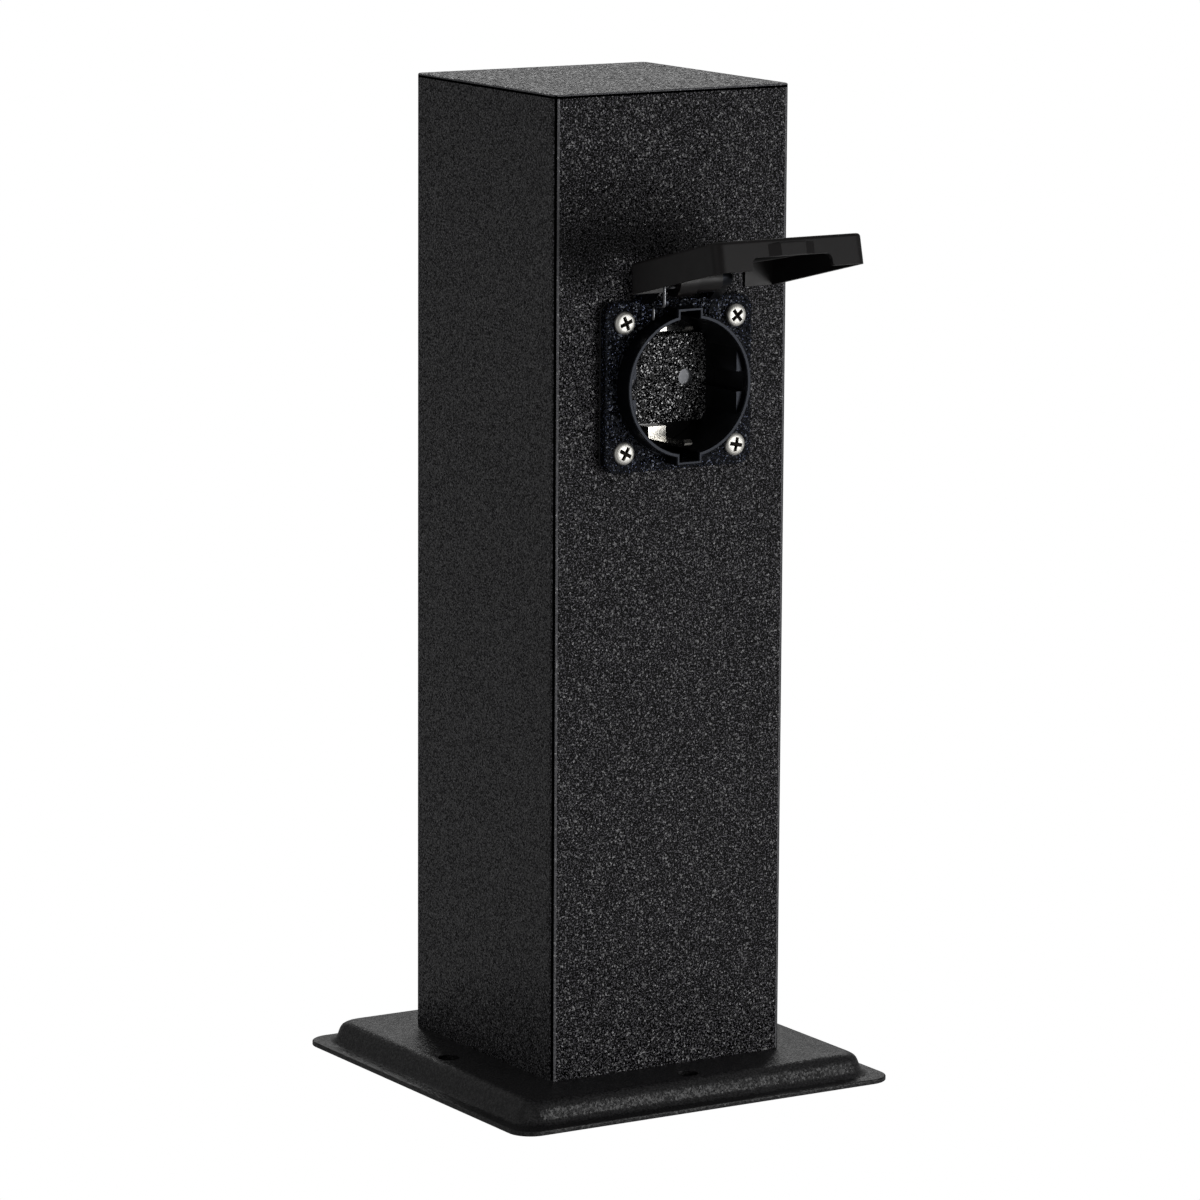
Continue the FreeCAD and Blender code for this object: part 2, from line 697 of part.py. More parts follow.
def socket_frame():
    """The moulded flange, its round collar with two keyways, and the hinge ears."""
    frame = socket_body("socket_frame")
    half = "flange_side / 2"
    add(frame, "XZ", "gasket_thick", FLANGE_FRONT, centred_box(half, half))
    fillet(frame, "flange_corner", runs_along("Y"))
    fillet(frame, "flange_edge", lies_at("Y", minus(FLANGE_FRONT)))
    add(frame, "XZ", minus("sleeve_rear"), "collar_proud", circle(COLLAR_RADIUS))
    key_half = "(key_width / 2 + key_wall)"
    key_top = f"({KEY_REACH} + key_wall)"
    add(frame, "XZ", RECESS_FLOOR, "collar_proud", centred_box(key_half, key_top))
    for side in ("-boss_span / 2", "boss_span / 2"):
        add(frame, "XZ", minus("sleeve_rear"), "gasket_thick", circle("boss_size / 2", side))
    # the bore is round in front of and behind the guide pads
    shoulder = "(collar_proud - pad_step)"
    cut(frame, "XZ", shoulder, "collar_proud", circle(BORE_RADIUS))
    cut(frame, "XZ", minus("sleeve_rear"), RECESS_FLOOR, circle(BORE_RADIUS))
    cut(frame, "XZ", RECESS_FLOOR, shoulder, flatted_circle(BORE_RADIUS, "pad_flat / 2", True))
    gap_reach = f"({BORE_RADIUS} - 0.1 * collar_wall)"
    cut(frame, "XZ", RECESS_FLOOR, shoulder, centred_box(gap_reach, "pad_gap / 2"))
    cut(frame, "XZ", RECESS_FLOOR, "collar_proud", centred_box("key_width / 2", KEY_REACH))
    bevel(frame, "collar_edge", lies_at("Y", minus("collar_proud")))
    hinge_ears(frame)
    cut(frame, "XZ", "gasket_thick", FLANGE_FRONT, *screw_holes("flange_screw + screw_play"))
    for side in ("-boss_span / 2", "boss_span / 2"):
        pilot = circle("boss_size / 4", side)
        cut(frame, "XZ", minus("sleeve_rear"), minus("sleeve_rear / 4"), pilot)
    return frame


def hinge_ears(frame):
    """Two ears that rise from the collar past the flange to the hinge pin."""
    root = f"({COLLAR_RADIUS} * 0.8)"
    face = f"({FLANGE_FRONT} + ear_step)"
    flare = "(hinge_rise - 2 * ear_radius)"
    outline = polygon(
        (minus("gasket_thick"), root),
        (minus(face), root),
        (minus(face), f"({flare} - ear_radius / 3)"),
        (minus("hinge_reach + ear_radius * 0.9"), "hinge_rise - ear_radius * 0.4"),
        (minus("hinge_reach"), "hinge_rise + ear_radius * 0.9"),
        (minus("gasket_thick + ear_radius * 0.6"), "hinge_rise + ear_radius * 0.5"),
        (minus("gasket_thick"), "hinge_rise"),
    )
    outer = "ear_inner + ear_thick"
    knuckle = circle("ear_radius", minus("hinge_reach"), "hinge_rise")
    for start, end in (("ear_inner", outer), (minus(outer), minus("ear_inner"))):
        add(frame, "YZ", start, end, outline)
        add(frame, "YZ", start, end, knuckle)
    bore = circle("pin_size / 2", minus("hinge_reach"), "hinge_rise")
    cut(frame, "YZ", minus(outer), outer, bore)


def flange_screws():
    """Four bright screws with crowned heads."""
    screw = body("flange_screw_master")
    head, shank = "(flange_screw_head / 2)", "flange_screw / 2"
    outline = polygon(
        ("0", minus("flange_screw_length")),
        (shank, minus("flange_screw_length")),
        (shank, "0"),
        (head, "0"),
        (head, "flange_screw_crown * 0.4"),
        (f"{head} * 0.6", "flange_screw_crown"),
        ("0", "flange_screw_crown"),
    )
    revolve(screw, "XY", "V", outline)
    front = minus(f"post_width / 2 + {FLANGE_FRONT}")
    places = [
        (x, front, f"socket_height + {z}")
        for x in (minus(HALF_SPAN), HALF_SPAN)
        for z in (minus(HALF_SPAN), HALF_SPAN)
    ]
    return copies("flange_screws", screw, places, turn=180)


def contact_carrier():
    """The floor of the recess, with its pin holes, clip pockets and shutter channel."""
    floor = socket_body("contact_carrier")
    ledge = f"({RECESS_FLOOR} - clip_pocket)"
    rear = minus("sleeve_rear")
    add(floor, "XZ", rear, ledge, circle(CARRIER_RADIUS))
    add(floor, "XZ", ledge, RECESS_FLOOR, flatted_circle(CARRIER_RADIUS, "floor_height / 2", False))
    holes = [circle("pin_hole / 2", x) for x in ("-pin_span / 2", "pin_span / 2")]
    cut(floor, "XZ", rear, RECESS_FLOOR, *holes)
    channel_front = f"({RECESS_FLOOR} - floor_skin)"
    reach = "(shutter_half + shutter_travel + shutter_play)"
    channel = box(minus(reach), "shutter_half + shutter_play", *channel_sides())
    cut(floor, "XZ", rear, channel_front, channel)
    spring_top = "(spring_line + return_radius + return_wire + shutter_play)"
    seat = box("-spring_seat", "tab_seat + tab_width + shutter_play", "0", spring_top)
    cut(floor, "XZ", rear, channel_front, seat)
    slot_low = "(strap_neck / 2 - strap_sheet)"
    for low, high in ((slot_low, "strap_shelf / 2"), (minus("strap_shelf / 2"), minus(slot_low))):
        slot = box("-strap_width / 2 - wire_play", "strap_width / 2 + wire_play", low, high)
        cut(floor, "XZ", rear, ledge, slot)
    return floor


def channel_sides():
    """Lower and upper side of the shutter's channel."""
    half = "(shutter_height / 2 + shutter_play)"
    return minus(half), half


def shutter():
    """The grey slide that closes both pin holes until two pins push it aside."""
    slide = socket_body("shutter")
    front = minus(SHUTTER_FRONT)
    rear = minus(f"{SHUTTER_FRONT} + shutter_thick")
    half = "shutter_height / 2"
    add(slide, "XZ", rear, front, box("-shutter_half", "shutter_half", minus(half), half))
    tab_top = "spring_line + return_radius + return_wire"
    add(slide, "XZ", rear, front, box("tab_seat", "tab_seat + tab_width", "0", tab_top))
    middle = "(shutter_travel - pin_span / 2)"
    left, right = f"{middle} - window_width / 2", f"{middle} + window_width / 2"
    cut(slide, "XZ", rear, front, box(left, right, "-window_width / 2", "window_width / 2"))
    return slide


def rear_cover():
    """The back of the insert: chambers for the contacts and holes for the wires."""
    cover = socket_body("rear_cover")
    rear, front = minus("insert_rear"), minus("sleeve_rear")
    add(cover, "XZ", rear, front, circle(COLLAR_RADIUS))
    ear_rear = minus("sleeve_rear + boss_size * 0.7")
    for side, inner in (("-boss_span / 2", minus(BORE_RADIUS)), ("boss_span / 2", BORE_RADIUS)):
        left, right = (side, inner) if side.startswith("-") else (inner, side)
        add(cover, "XZ", ear_rear, front, circle("boss_size / 2", side))
        add(cover, "XZ", ear_rear, front, box(left, right, "-boss_size / 2", "boss_size / 2"))
        cut(cover, "XZ", ear_rear, front, circle("boss_size / 4 + wire_play", side))
        cut(cover, "XZ", rear, ear_rear, circle(f"{SCREW_HEAD} + wire_play", side))
    chamber_rear = minus("terminal_rear + contact_play")
    for side in ("-pin_span / 2", "pin_span / 2"):
        contact_chamber(cover, side, chamber_rear, front)
    # the earth strap's cross bar and its terminal
    half = "(strap_width / 2 + contact_play)"
    arm = "(strap_neck / 2 + contact_play)"
    bar_rear = minus("strap_rear + contact_play")
    cut(cover, "XZ", bar_rear, front, centred_box(half, arm))
    low, high = earth_terminal_sides()
    terminal = box(minus(half), half, f"{low} - contact_play", f"{high} + contact_play")
    cut(cover, "XZ", chamber_rear, bar_rear, terminal)
    cut(cover, "XZ", rear, chamber_rear, circle(SCREW_WELL, "0", "-earth_screw_drop"))
    wire_well(cover, "0", f"{low} - contact_play")
    return cover


def contact_chamber(cover, side, rear, front):
    """Room for one contact sleeve, its terminal, its screw and its wire."""
    sleeve = circle("sleeve_bore / 2 + sleeve_wall + contact_play", side)
    cut(cover, "XZ", rear, front, sleeve)
    half = "(terminal_width / 2 + contact_play)"
    low = "-terminal_low - contact_play"
    terminal = box(f"{side} - {half}", f"{side} + {half}", low, "0")
    cut(cover, "XZ", rear, front, terminal)
    cut(cover, "XZ", minus("insert_rear"), rear, circle(SCREW_WELL, side, "-terminal_screw_drop"))
    wire_well(cover, side, low)


def wire_well(cover, side, top):
    """The upright hole for a wire below a terminal."""
    hole = circle(f"{WIRE_RADIUS} + wire_play", side, LIVE_LINE)
    cut(cover, "XY", minus(COLLAR_RADIUS), top, hole)


def contact(label, side):
    """A split pin sleeve with its screw terminal, pressed from one brass blank."""
    piece = socket_body(label)
    front, rear = minus("sleeve_start"), minus("terminal_rear")
    add(piece, "XZ", rear, front, circle("sleeve_bore / 2 + sleeve_wall", side))
    half = "terminal_width / 2"
    top = "-sleeve_bore / 2 - sleeve_wall / 2"
    block = box(f"{side} - {half}", f"{side} + {half}", "-terminal_low", top)
    add(piece, "XZ", rear, f"{rear} + terminal_depth", block)
    cut(piece, "XZ", f"{rear} + sleeve_wall", front, circle("sleeve_bore / 2", side))
    slit = box(f"{side} - sleeve_wall / 2", f"{side} + sleeve_wall / 2", "0", "sleeve_bore")
    cut(piece, "XZ", f"{rear} + sleeve_wall", front, slit)
    wire_hole = circle(WIRE_RADIUS, side, LIVE_LINE)
    cut(piece, "XY", "-terminal_low", "-sleeve_bore / 2 - sleeve_wall * 1.6", wire_hole)
    screw_hole = circle("contact_screw / 2", side, "-terminal_screw_drop")
    cut(piece, "XZ", rear, minus(LIVE_LINE), screw_hole)
    return piece


def earth_terminal_sides():
    """Lower and upper side of the earth terminal."""
    return "(-earth_screw_drop - terminal_width / 2)", "(-earth_screw_drop + terminal_width / 2)"


def earth_terminal():
    """The screw terminal riveted to the earth strap's cross bar."""
    block = socket_body("earth_terminal")
    rear = minus("terminal_rear")
    low, high = earth_terminal_sides()
    half = "terminal_width / 2"
    add(block, "XZ", rear, minus("strap_rear"), box(minus(half), half, low, high))
    cut(block, "XY", low, f"{high} - sleeve_wall", circle(WIRE_RADIUS, "0", LIVE_LINE))
    cut(block, "XZ", rear, minus(LIVE_LINE), circle("contact_screw / 2", "0", "-earth_screw_drop"))
    return block


def contact_screws():
    """The three screws that clamp the wires in the contacts' terminals."""
    screw = body("contact_screw_master")
    head, shank = "contact_screw_head / 2", "contact_screw / 2"
    length = f"(terminal_rear - {LIVE_LINE} - wire_size / 2 - wire_play)"
    outline = polygon(
        ("0", minus(length)),
        (shank, minus(length)),
        (shank, "0"),
        (head, "0"),
        (head, "contact_screw / 2"),
        ("0", "contact_screw / 2"),
    )
    revolve(screw, "XY", "V", outline)
    back = "terminal_rear - post_width / 2"
    drops = (
        ("-pin_span / 2", "terminal_screw_drop"),
        ("0", "earth_screw_drop"),
        ("pin_span / 2", "terminal_screw_drop"),
    )
    places = [(x, back, f"socket_height - {drop}") for x, drop in drops]
    return copies("contact_screws", screw, places)


def carrier_screws():
    """Two screws that hold the rear cover to the frame's bosses."""
    screw = body("carrier_screw_master")
    head, shank = SCREW_HEAD, "boss_size / 4"
    length = "(boss_size * 0.7 + sleeve_rear / 2)"
    outline = polygon(
        ("0", minus(length)),
        (shank, minus(length)),
        (shank, "0"),
        (head, "0"),
        (head, "boss_size * 0.3"),
        ("0", "boss_size * 0.3"),
    )
    revolve(screw, "XY", "V", outline)
    back = "sleeve_rear + boss_size * 0.7 - post_width / 2"
    places = [(x, back, "socket_height") for x in ("-boss_span / 2", "boss_span / 2")]
    return copies("carrier_screws", screw, places)


def mitred(path, offset):
    """Points at a steady distance beside an open path in the YZ plane."""
    beside = []
    for n, here in enumerate(path):
        ways = []
        if n:
            ways.append((here - path[n - 1]).normalize())
        if n + 1 < len(path):
            ways.append((path[n + 1] - here).normalize())
        normals = [Vector(0, -way.z, way.y) for way in ways]
        total = sum(normals[1:], normals[0])
        total = total * (offset / total.dot(normals[0]))
        beside.append(here + total)
    return beside


def earth_strap():
    """One sprung strip bent twice on each side, whose tips stand in the recess."""
    shelf, neck = value("strap_shelf / 2"), value("strap_neck / 2 - strap_sheet / 2")
    rear, tip = value("strap_rear - strap_sheet / 2"), value("strap_tip_gap / 2")
    ledge = value(f"{RECESS_FLOOR} - strap_sheet")
    proud, flare = value("strap_tip_proud"), value("strap_flare")
    sheet, width = value("strap_sheet"), value("strap_width")
    lower = [
        Vector(0, -proud, -tip - flare),
        Vector(0, -proud * 0.88, -tip),
        Vector(0, -proud * 0.6, -shelf + sheet / 2),
        Vector(0, -ledge, -shelf + sheet / 2),
        Vector(0, -ledge, -neck),
        Vector(0, rear, -neck),
    ]
    upper = [Vector(p.x, p.y, -p.z) for p in reversed(lower)]
    path = lower + upper
    outline = mitred(path, sheet / 2) + mitred(path, -sheet / 2)[::-1]
    face = Part.Face(Part.makePolygon(outline + outline[:1]))
    strip = face.extrude(Vector(width, 0, 0))
    strip.translate(Vector(-width / 2, 0, 0))
    # the arms narrow towards their tips
    narrow = value("strap_tip / 2")
    reach = 2 * value("collar_bore")
    for side in (-1, 1):
        corners = [
            Vector(side * width / 2, 0, -reach),
            Vector(side * narrow, -proud * 0.75, -reach),
            Vector(side * narrow, -2 * proud, -reach),
            Vector(side * width, -2 * proud, -reach),
            Vector(side * width, 0, -reach),
        ]
        wedge = Part.Face(Part.makePolygon(corners + corners[:1])).extrude(Vector(0, 0, 2 * reach))
        strip = strip.cut(wedge)
    place = Placement(Vector(0, value("-post_width / 2"), value("socket_height")), Rotation())
    return feature("earth_strap", strip, place)


# Lid and hinge


def lid():
    """The splash lid: a tray with a finger cut-out, a grip, and a hinge barrel."""
    flap = hinge_body("lid")
    near, far = "-hinge_end", "(-hinge_end - lid_length)"
    skirt = "(lid_front - lid_depth)"
    half = "lid_width / 2"
    rim, foot = minus(skirt), f"{near} + back_lean"
    side = polygon(("-lid_front", far), ("-lid_front", near), (rim, foot), (rim, far))
    add(flap, "YZ", minus(half), half, side)
    fillet(flap, "lid_corner", neither(runs_along("X"), runs_along("Z")))
    grip = polygon(
        ("-grip_base / 2", f"{far} + lid_wall / 2"),
        ("-grip_base / 2", far),
        ("-grip_top / 2", f"{far} - grip_proud"),
        ("grip_top / 2", f"{far} - grip_proud"),
        ("grip_base / 2", far),
        ("grip_base / 2", f"{far} + lid_wall / 2"),
    )
    fillet(flap, "lid_edge", lies_at("Y", "-lid_front"))
    add(flap, "XZ", f"{skirt} + finger_depth", "lid_front - lid_edge - grip_edge", grip)
    inner, ceiling = f"({half} - lid_wall)", "lid_wall - lid_front"
    room = polygon(
        (ceiling, f"{far} + lid_wall"),
        (ceiling, f"{near} - lid_wall"),
        (rim, f"{foot} - 0.8 * lid_wall"),
        (rim, f"{far} + lid_wall"),
    )
    cut(flap, "YZ", minus(inner), inner, room)
    side = "finger_width / 2"
    finger = box(minus(side), side, f"{far} - lid_wall", f"{far} + 2 * lid_wall")
    cut(flap, "XZ", skirt, f"{skirt} + finger_depth", finger)
    hollow = at_finger_corner(f"{skirt} + finger_depth")
    fillet(flap, "finger_round", both(runs_along("Z"), hollow))
    fillet(flap, "finger_round / 2", both(runs_along("Z"), at_finger_corner(skirt)))
    side = "back_gap / 2"
    gap = box(minus(side), side, f"{near} - 2 * lid_wall", f"{foot} + lid_wall")
    cut(flap, "XZ", skirt, "lid_front - lid_wall", gap)
    hinge_barrel(flap)
    return flap


def at_finger_corner(forward):
    """True for an edge at a side of the finger cut-out, at one distance forward."""
    side, back = value("finger_width / 2"), -value(forward)
    far = value("2 * lid_wall - hinge_end - lid_length")

    def test(edge):
        middle = edge.CenterOfMass
        beside = abs(abs(middle.x) - side) < 1e-4
        return beside and middle.z < far and abs(middle.y - back) < 1e-4

    return test


def hinge_barrel(flap):
    """The lid's tongue, the barrel that turns on the pin, and the sheet beside it."""
    tongue = polygon(
        ("-lid_front + 0.5 * lid_wall", "-hinge_end - lid_wall"),
        ("-lid_front + 0.35 * lid_edge", "-hinge_end - 0.35 * lid_edge"),
        ("-barrel_radius", "0"),
        ("0", "0"),
        ("0", "-barrel_radius * 0.85"),
        ("-lid_front + 1.5 * lid_wall", "-hinge_end + 0.4 * lid_wall"),
        ("-lid_front + 0.9 * lid_wall", "-hinge_end - lid_wall"),
    )
    apron = polygon(
        ("-lid_front + 0.5 * lid_wall", "-hinge_end - lid_wall"),
        ("-lid_front + 0.35 * lid_edge", "-hinge_end - 0.35 * lid_edge"),
        ("-lid_front + 0.55 * lid_edge", "-apron_end"),
        ("-lid_front + lid_wall", "-apron_end"),
        ("-lid_front + lid_wall", "-hinge_end - lid_wall"),
    )
    add(flap, "YZ", "-barrel_right", "-barrel_left", apron)
    add(flap, "YZ", "-barrel_left", "barrel_right", tongue)
    add(flap, "YZ", "-barrel_left", "barrel_right", circle("barrel_radius"))
    add(flap, "YZ", "-barrel_left", "lobe_right", circle("lobe_radius"))
    cut(flap, "YZ", "-barrel_left", "barrel_right", circle("pin_size / 2 + pin_play"))
    # the spring's tang sits in the barrel's left face, beside the lid's inner side
    hole = circle("coil_wire / 2 + wire_play", "coil_radius", "-coil_bend")
    cut(flap, "YZ", "-barrel_left", "tang_length + wire_play - barrel_left", hole)


def lid_seal():
    """The soft ring in the lid that meets the collar's front edge."""
    ring = hinge_body("lid_seal")
    centre = "-hinge_rise"
    front = "lid_front - lid_wall"
    add(ring, "XZ", f"{front} - seal_thick", front, circle("seal_outer / 2", "0", centre))
    cut(ring, "XZ", f"{front} - seal_thick", front, circle("seal_inner / 2", "0", centre))
    return ring


def hinge_pin():
    """The steel pin pressed into both ears."""
    pin = body("hinge_pin", "post_width / 2 + hinge_reach", "socket_height + hinge_rise")
    end = "ear_inner + ear_thick"
    add(pin, "YZ", minus(end), end, circle("pin_size / 2"))
    return pin


# Wires and springs


def round_corner(before, corner, after, radius=None):
    """The arc that joins two runs at a corner, and its radius.

    Without a radius the arc takes 0.45 of the shorter run.
    """
    back, ahead = before - corner, after - corner
    turn = math.pi - back.getAngle(ahead)
    reach = 0.45 * min(back.Length, ahead.Length)
    if radius is None:
        radius = reach / math.tan(turn / 2)
    reach = radius * math.tan(turn / 2)
    start = corner + back.normalize() * reach
    end = corner + ahead.normalize() * reach
    inward = (back + ahead).normalize()
    middle = corner + inward * (radius / math.cos(turn / 2) - radius)
    return Part.Arc(start, middle, end).toShape(), start, end, radius


def rounded_path(points, radius=None):
    """Straight runs joined by tangent arcs, and the arcs' radii."""
    edges, radii = [], []
    here = points[0]
    for before, corner, after in zip(points, points[1:], points[2:]):
        arc, start, end, size = round_corner(before, corner, after, radius)
        edges += [Part.LineSegment(here, start).toShape(), arc]
        radii.append(size)
        here = end
    edges.append(Part.LineSegment(here, points[-1]).toShape())
    return edges, radii


def tube(edges, radius):
    """A round tube along joined edges, checked against its section times its length."""
    path = Part.Wire(edges)
    first = edges[0]
    start = first.Vertexes[0].Point
    way = first.tangentAt(first.FirstParameter)
    ring = Part.Wire(Part.Circle(start, way, radius).toShape())
    solid = path.makePipeShell([ring], True, False)
    expected = math.pi * radius * radius * path.Length
    if abs(solid.Volume - expected) > 0.02 * expected:
        raise RuntimeError(f"tube volume {solid.Volume:.1f}, expected {expected:.1f}")
    return solid, path.Length


def wire(label, *points):
    """An insulated wire held from terminal to terminal."""
    places = [Vector(*(value(text) for text in point)) for point in points]
    edges, radii = rounded_path(places)
    solid, length = tube(edges, value("wire_size / 2"))
    print(label, "length", round(length, 1), "radii", [round(r, 1) for r in radii])
    return feature(label, solid)


def socket_wire(label, pole, side, drop):
    """A wire from a pole of the terminal block up to a terminal of the socket."""
    back = f"{LIVE_LINE} - post_width / 2"
    top = "block_floor + block_height"
    low_end = f"{CLAMP_MIDDLE} + wire_play"
    entry = f"socket_height - {drop}"
    return wire(
        label,
        (pole, "wire_line", low_end),
        (pole, "wire_line", f"{top} + block_height"),
        (side, back, f"socket_height - {COLLAR_RADIUS} - block_height"),
        (side, back, entry),
    )


def bond_wire():
    """The wire from the earth pole down to the post's earth stud."""
    lug_top = "(bond_height + lug_ring / 2 + lug_barrel)"
    back = f"({POST_INSIDE} - lug_sheet - wire_size / 2)"
    bend = "block_height"
    return wire(
        "earth_bond_wire",
        ("0", "wire_line", f"{CLAMP_MIDDLE} - wire_play"),
        ("0", "wire_line", f"block_floor - {bend} * 0.8"),
        ("bond_side", back, f"{lug_top} + {bend} * 0.8"),
        ("bond_side", back, f"{lug_top} - lug_barrel + wire_play"),
    )


def biarc(start, start_way, end, end_way):
    """Two arcs from one point and direction to another, tangent where they meet."""
    gap = end - start
    ways = start_way + end_way
    bend = 2 * (1 - start_way.dot(end_way))
    along = gap.dot(ways)
    reach = (-along + math.sqrt(along * along + bend * gap.dot(gap))) / bend
    first, second = start + start_way * reach, end - end_way * reach
    meeting = (first + second) * 0.5
    return [arc_by_corner(start, first, meeting), arc_by_corner(meeting, second, end)]


def arc_by_corner(start, corner, end):
    """The arc from start to end whose tangents cross at the corner."""
    chord = (start + end) * 0.5
    rise = corner - chord
    lean = math.atan2(rise.Length, (end - start).Length / 2)
    middle = chord + rise.normalize() * ((end - start).Length / 2 * math.tan(lean / 2))
    return Part.Arc(start, middle, end).toShape()


def coil(radius, pitch, first_angle, turns, hand):
    """A helix about X from x = 0, as quarter turn biarcs with square ends."""
    steps = max(2, round(abs(turns) * 4))
    points, ways = [], []
    for n in range(steps + 1):
        share = n / steps
        angle = math.radians(first_angle) + hand * 2 * math.pi * turns * share
        spin = Vector(0, -math.sin(angle), math.cos(angle)) * hand
        lead = 0 if n in (0, steps) else pitch / (2 * math.pi * radius)
        points.append(
            Vector(pitch * turns * share, radius * math.cos(angle), radius * math.sin(angle))
        )
        ways.append((spin + Vector(lead, 0, 0)).normalize())
    edges = []
    for n in range(steps):
        edges += biarc(points[n], ways[n], points[n + 1], ways[n + 1])
    return edges


def least_gap(edges, wire_size):
    """Least free gap between stretches of a tube more than half a turn apart."""
    points, lengths, total = [], [], 0
    for edge in edges:
        count = max(3, int(edge.Length / wire_size * 3))
        for n in range(count):
            step = edge.FirstParameter + (edge.LastParameter - edge.FirstParameter) * n / count
            points.append(edge.valueAt(step))
            lengths.append(total + edge.Length * n / count)
        total += edge.Length
    apart = 4 * wire_size
    nearest = min(
        points[a].distanceToPoint(points[b])
        for a in range(len(points))
        for b in range(a)
        if lengths[a] - lengths[b] > apart
    )
    return nearest - wire_size


def lid_spring():
    """The wound spring that shuts the lid: one leg on the flange, a tang in the barrel."""
    size, radius = value("coil_wire"), value("coil_radius")
    left, right = value("-coil_left"), value("-coil_right")
    shelf, low = value("-leg_shelf"), value("-leg_end")
    wall = value(f"hinge_reach - {FLANGE_FRONT} - coil_wire / 2 - leg_gap")
    bend = value("coil_bend")
    opened = value("open_angle")
    # the leg stands on the flange, steps forward and rises to the coil's front
    leg = [
        Vector(left, wall, low),
        Vector(left, wall, shelf),
        Vector(left, -radius, shelf),
        Vector(left, -radius, 0),
    ]
    edges, radii = rounded_path(leg, bend)
    # the coil turns from its front over its top and ends at the lid's inner side
    turns = 1 + ((180 + opened) % 360) / 360
    pitch = (right - left) / turns
    winding = coil(radius, pitch, 180, turns, -1)
    for edge in winding:
        edge.translate(Vector(left, 0, 0))
    edges += winding
    end = winding[-1].Vertexes[-1].Point
    way = winding[-1].tangentAt(winding[-1].LastParameter)
    corner = end + way * bend
    tang = Vector(value("tang_length - barrel_left"), corner.y, corner.z)
    turn, start, stop, size_of_turn = round_corner(end, corner, tang, bend)
    edges.append(turn)
    edges.append(Part.LineSegment(stop, tang).toShape())
    gap = least_gap(edges, size)
    print("lid_spring least gap", round(gap, 2), "radii", [round(r, 1) for r in radii])
    solid, length = tube(edges, size / 2)
    place = Vector(0, value("-post_width / 2 - hinge_reach"), value("socket_height + hinge_rise"))
    return feature("lid_spring", solid, Placement(place, Rotation()))


def shutter_spring():
    """The spring that pushes the shutter back, as the sleeve that its turns fill."""
    sleeve = body(
        "shutter_spring",
        f"post_width / 2 - {SHUTTER_FRONT} - shutter_thick / 2",
        "socket_height + spring_line",
    )
    left, right = "wire_play - spring_seat", "tab_seat - wire_play"
    add(sleeve, "YZ", left, right, circle("return_radius + return_wire / 2"))
    cut(sleeve, "YZ", left, right, circle("return_radius - return_wire / 2"))
    return sleeve


# Terminal block and the post's own earth


def pole_places():
    """The three poles of the terminal block, from left to right."""
    return ["-pole_pitch", "0", "pole_pitch"]


def terminal_bracket():
    """A hat section welded to the post's rear wall."""
    hat = body("terminal_bracket")
    half, wall = "(hat_width / 2)", POST_INSIDE
    foot = f"({half} + hat_flange)"
    inner = f"({half} - hat_sheet)"
    right = [
        (half, "hat_face"),
        (half, f"{wall} - hat_sheet"),
        (foot, f"{wall} - hat_sheet"),
        (foot, wall),
        (inner, wall),
        (inner, "hat_face + hat_sheet"),
    ]
    left = [(minus(across), back) for across, back in reversed(right)]
    low = f"({CLAMP_MIDDLE} - hat_height / 2)"
    high = f"({CLAMP_MIDDLE} + hat_height / 2)"
    add(hat, "XY", low, high, polygon(*right, *left))
    holes = [circle("block_screw / 2", x, CLAMP_MIDDLE) for x in block_screw_sides()]
    cut(hat, "XZ", minus("hat_face + hat_sheet"), "-hat_face", *holes)
    return hat


def block_screw_sides():
    """The block's two screws stand between the poles."""
    return ["-pole_pitch / 2", "pole_pitch / 2"]


def terminal_block():
    """The moulded block with three open poles."""
    block = body("terminal_block")
    front = minus("hat_face - block_depth")
    back = "-hat_face"
    top = "(block_floor + block_height)"
    half = "block_width / 2"
    add(block, "XZ", back, front, box(minus(half), half, "block_floor", top))
    side = "(clamp_width / 2 + clamp_play)"
    rise = "(clamp_height / 2 + clamp_play)"
    for pole in pole_places():
        window = box(
            f"{pole} - {side}",
            f"{pole} + {side}",
            f"{CLAMP_MIDDLE} - {rise}",
            f"{CLAMP_MIDDLE} + {rise}",
        )
        cut(block, "XZ", "-clamp_back", front, window)
        wire_hole = circle(f"{WIRE_RADIUS} + wire_play", pole, "wire_line")
        cut(block, "XY", "block_floor", top, wire_hole)
    for place in block_screw_sides():
        well = circle("block_screw_head / 2 + wire_play", place, CLAMP_MIDDLE)
        cut(block, "XZ", f"{front} - block_screw", front, well)
        hole = circle("(block_screw + screw_play) / 2", place, CLAMP_MIDDLE)
        cut(block, "XZ", back, f"{front} - block_screw", hole)
    return block


def terminal_clamps():
    """Three brass clamps, each with a wire hole and two screw threads."""
    clamp = body("terminal_clamp_master")
    half = "clamp_width / 2"
    tall = "clamp_height / 2"
    add(clamp, "XY", minus(tall), tall, centred_box(half, half))
    line = "(wire_line - clamp_back + clamp_width / 2)"
    cut(clamp, "XY", minus(tall), tall, circle(WIRE_RADIUS, "0", line))
    threads = [
        circle("clamp_screw / 2", "0", z)
        for z in ("-clamp_screw_span / 2", "clamp_screw_span / 2")
    ]
    cut(clamp, "XZ", minus(line), half, *threads)
    back = "clamp_back - clamp_width / 2"
    return copies("terminal_clamps", clamp, [(x, back, CLAMP_MIDDLE) for x in pole_places()])


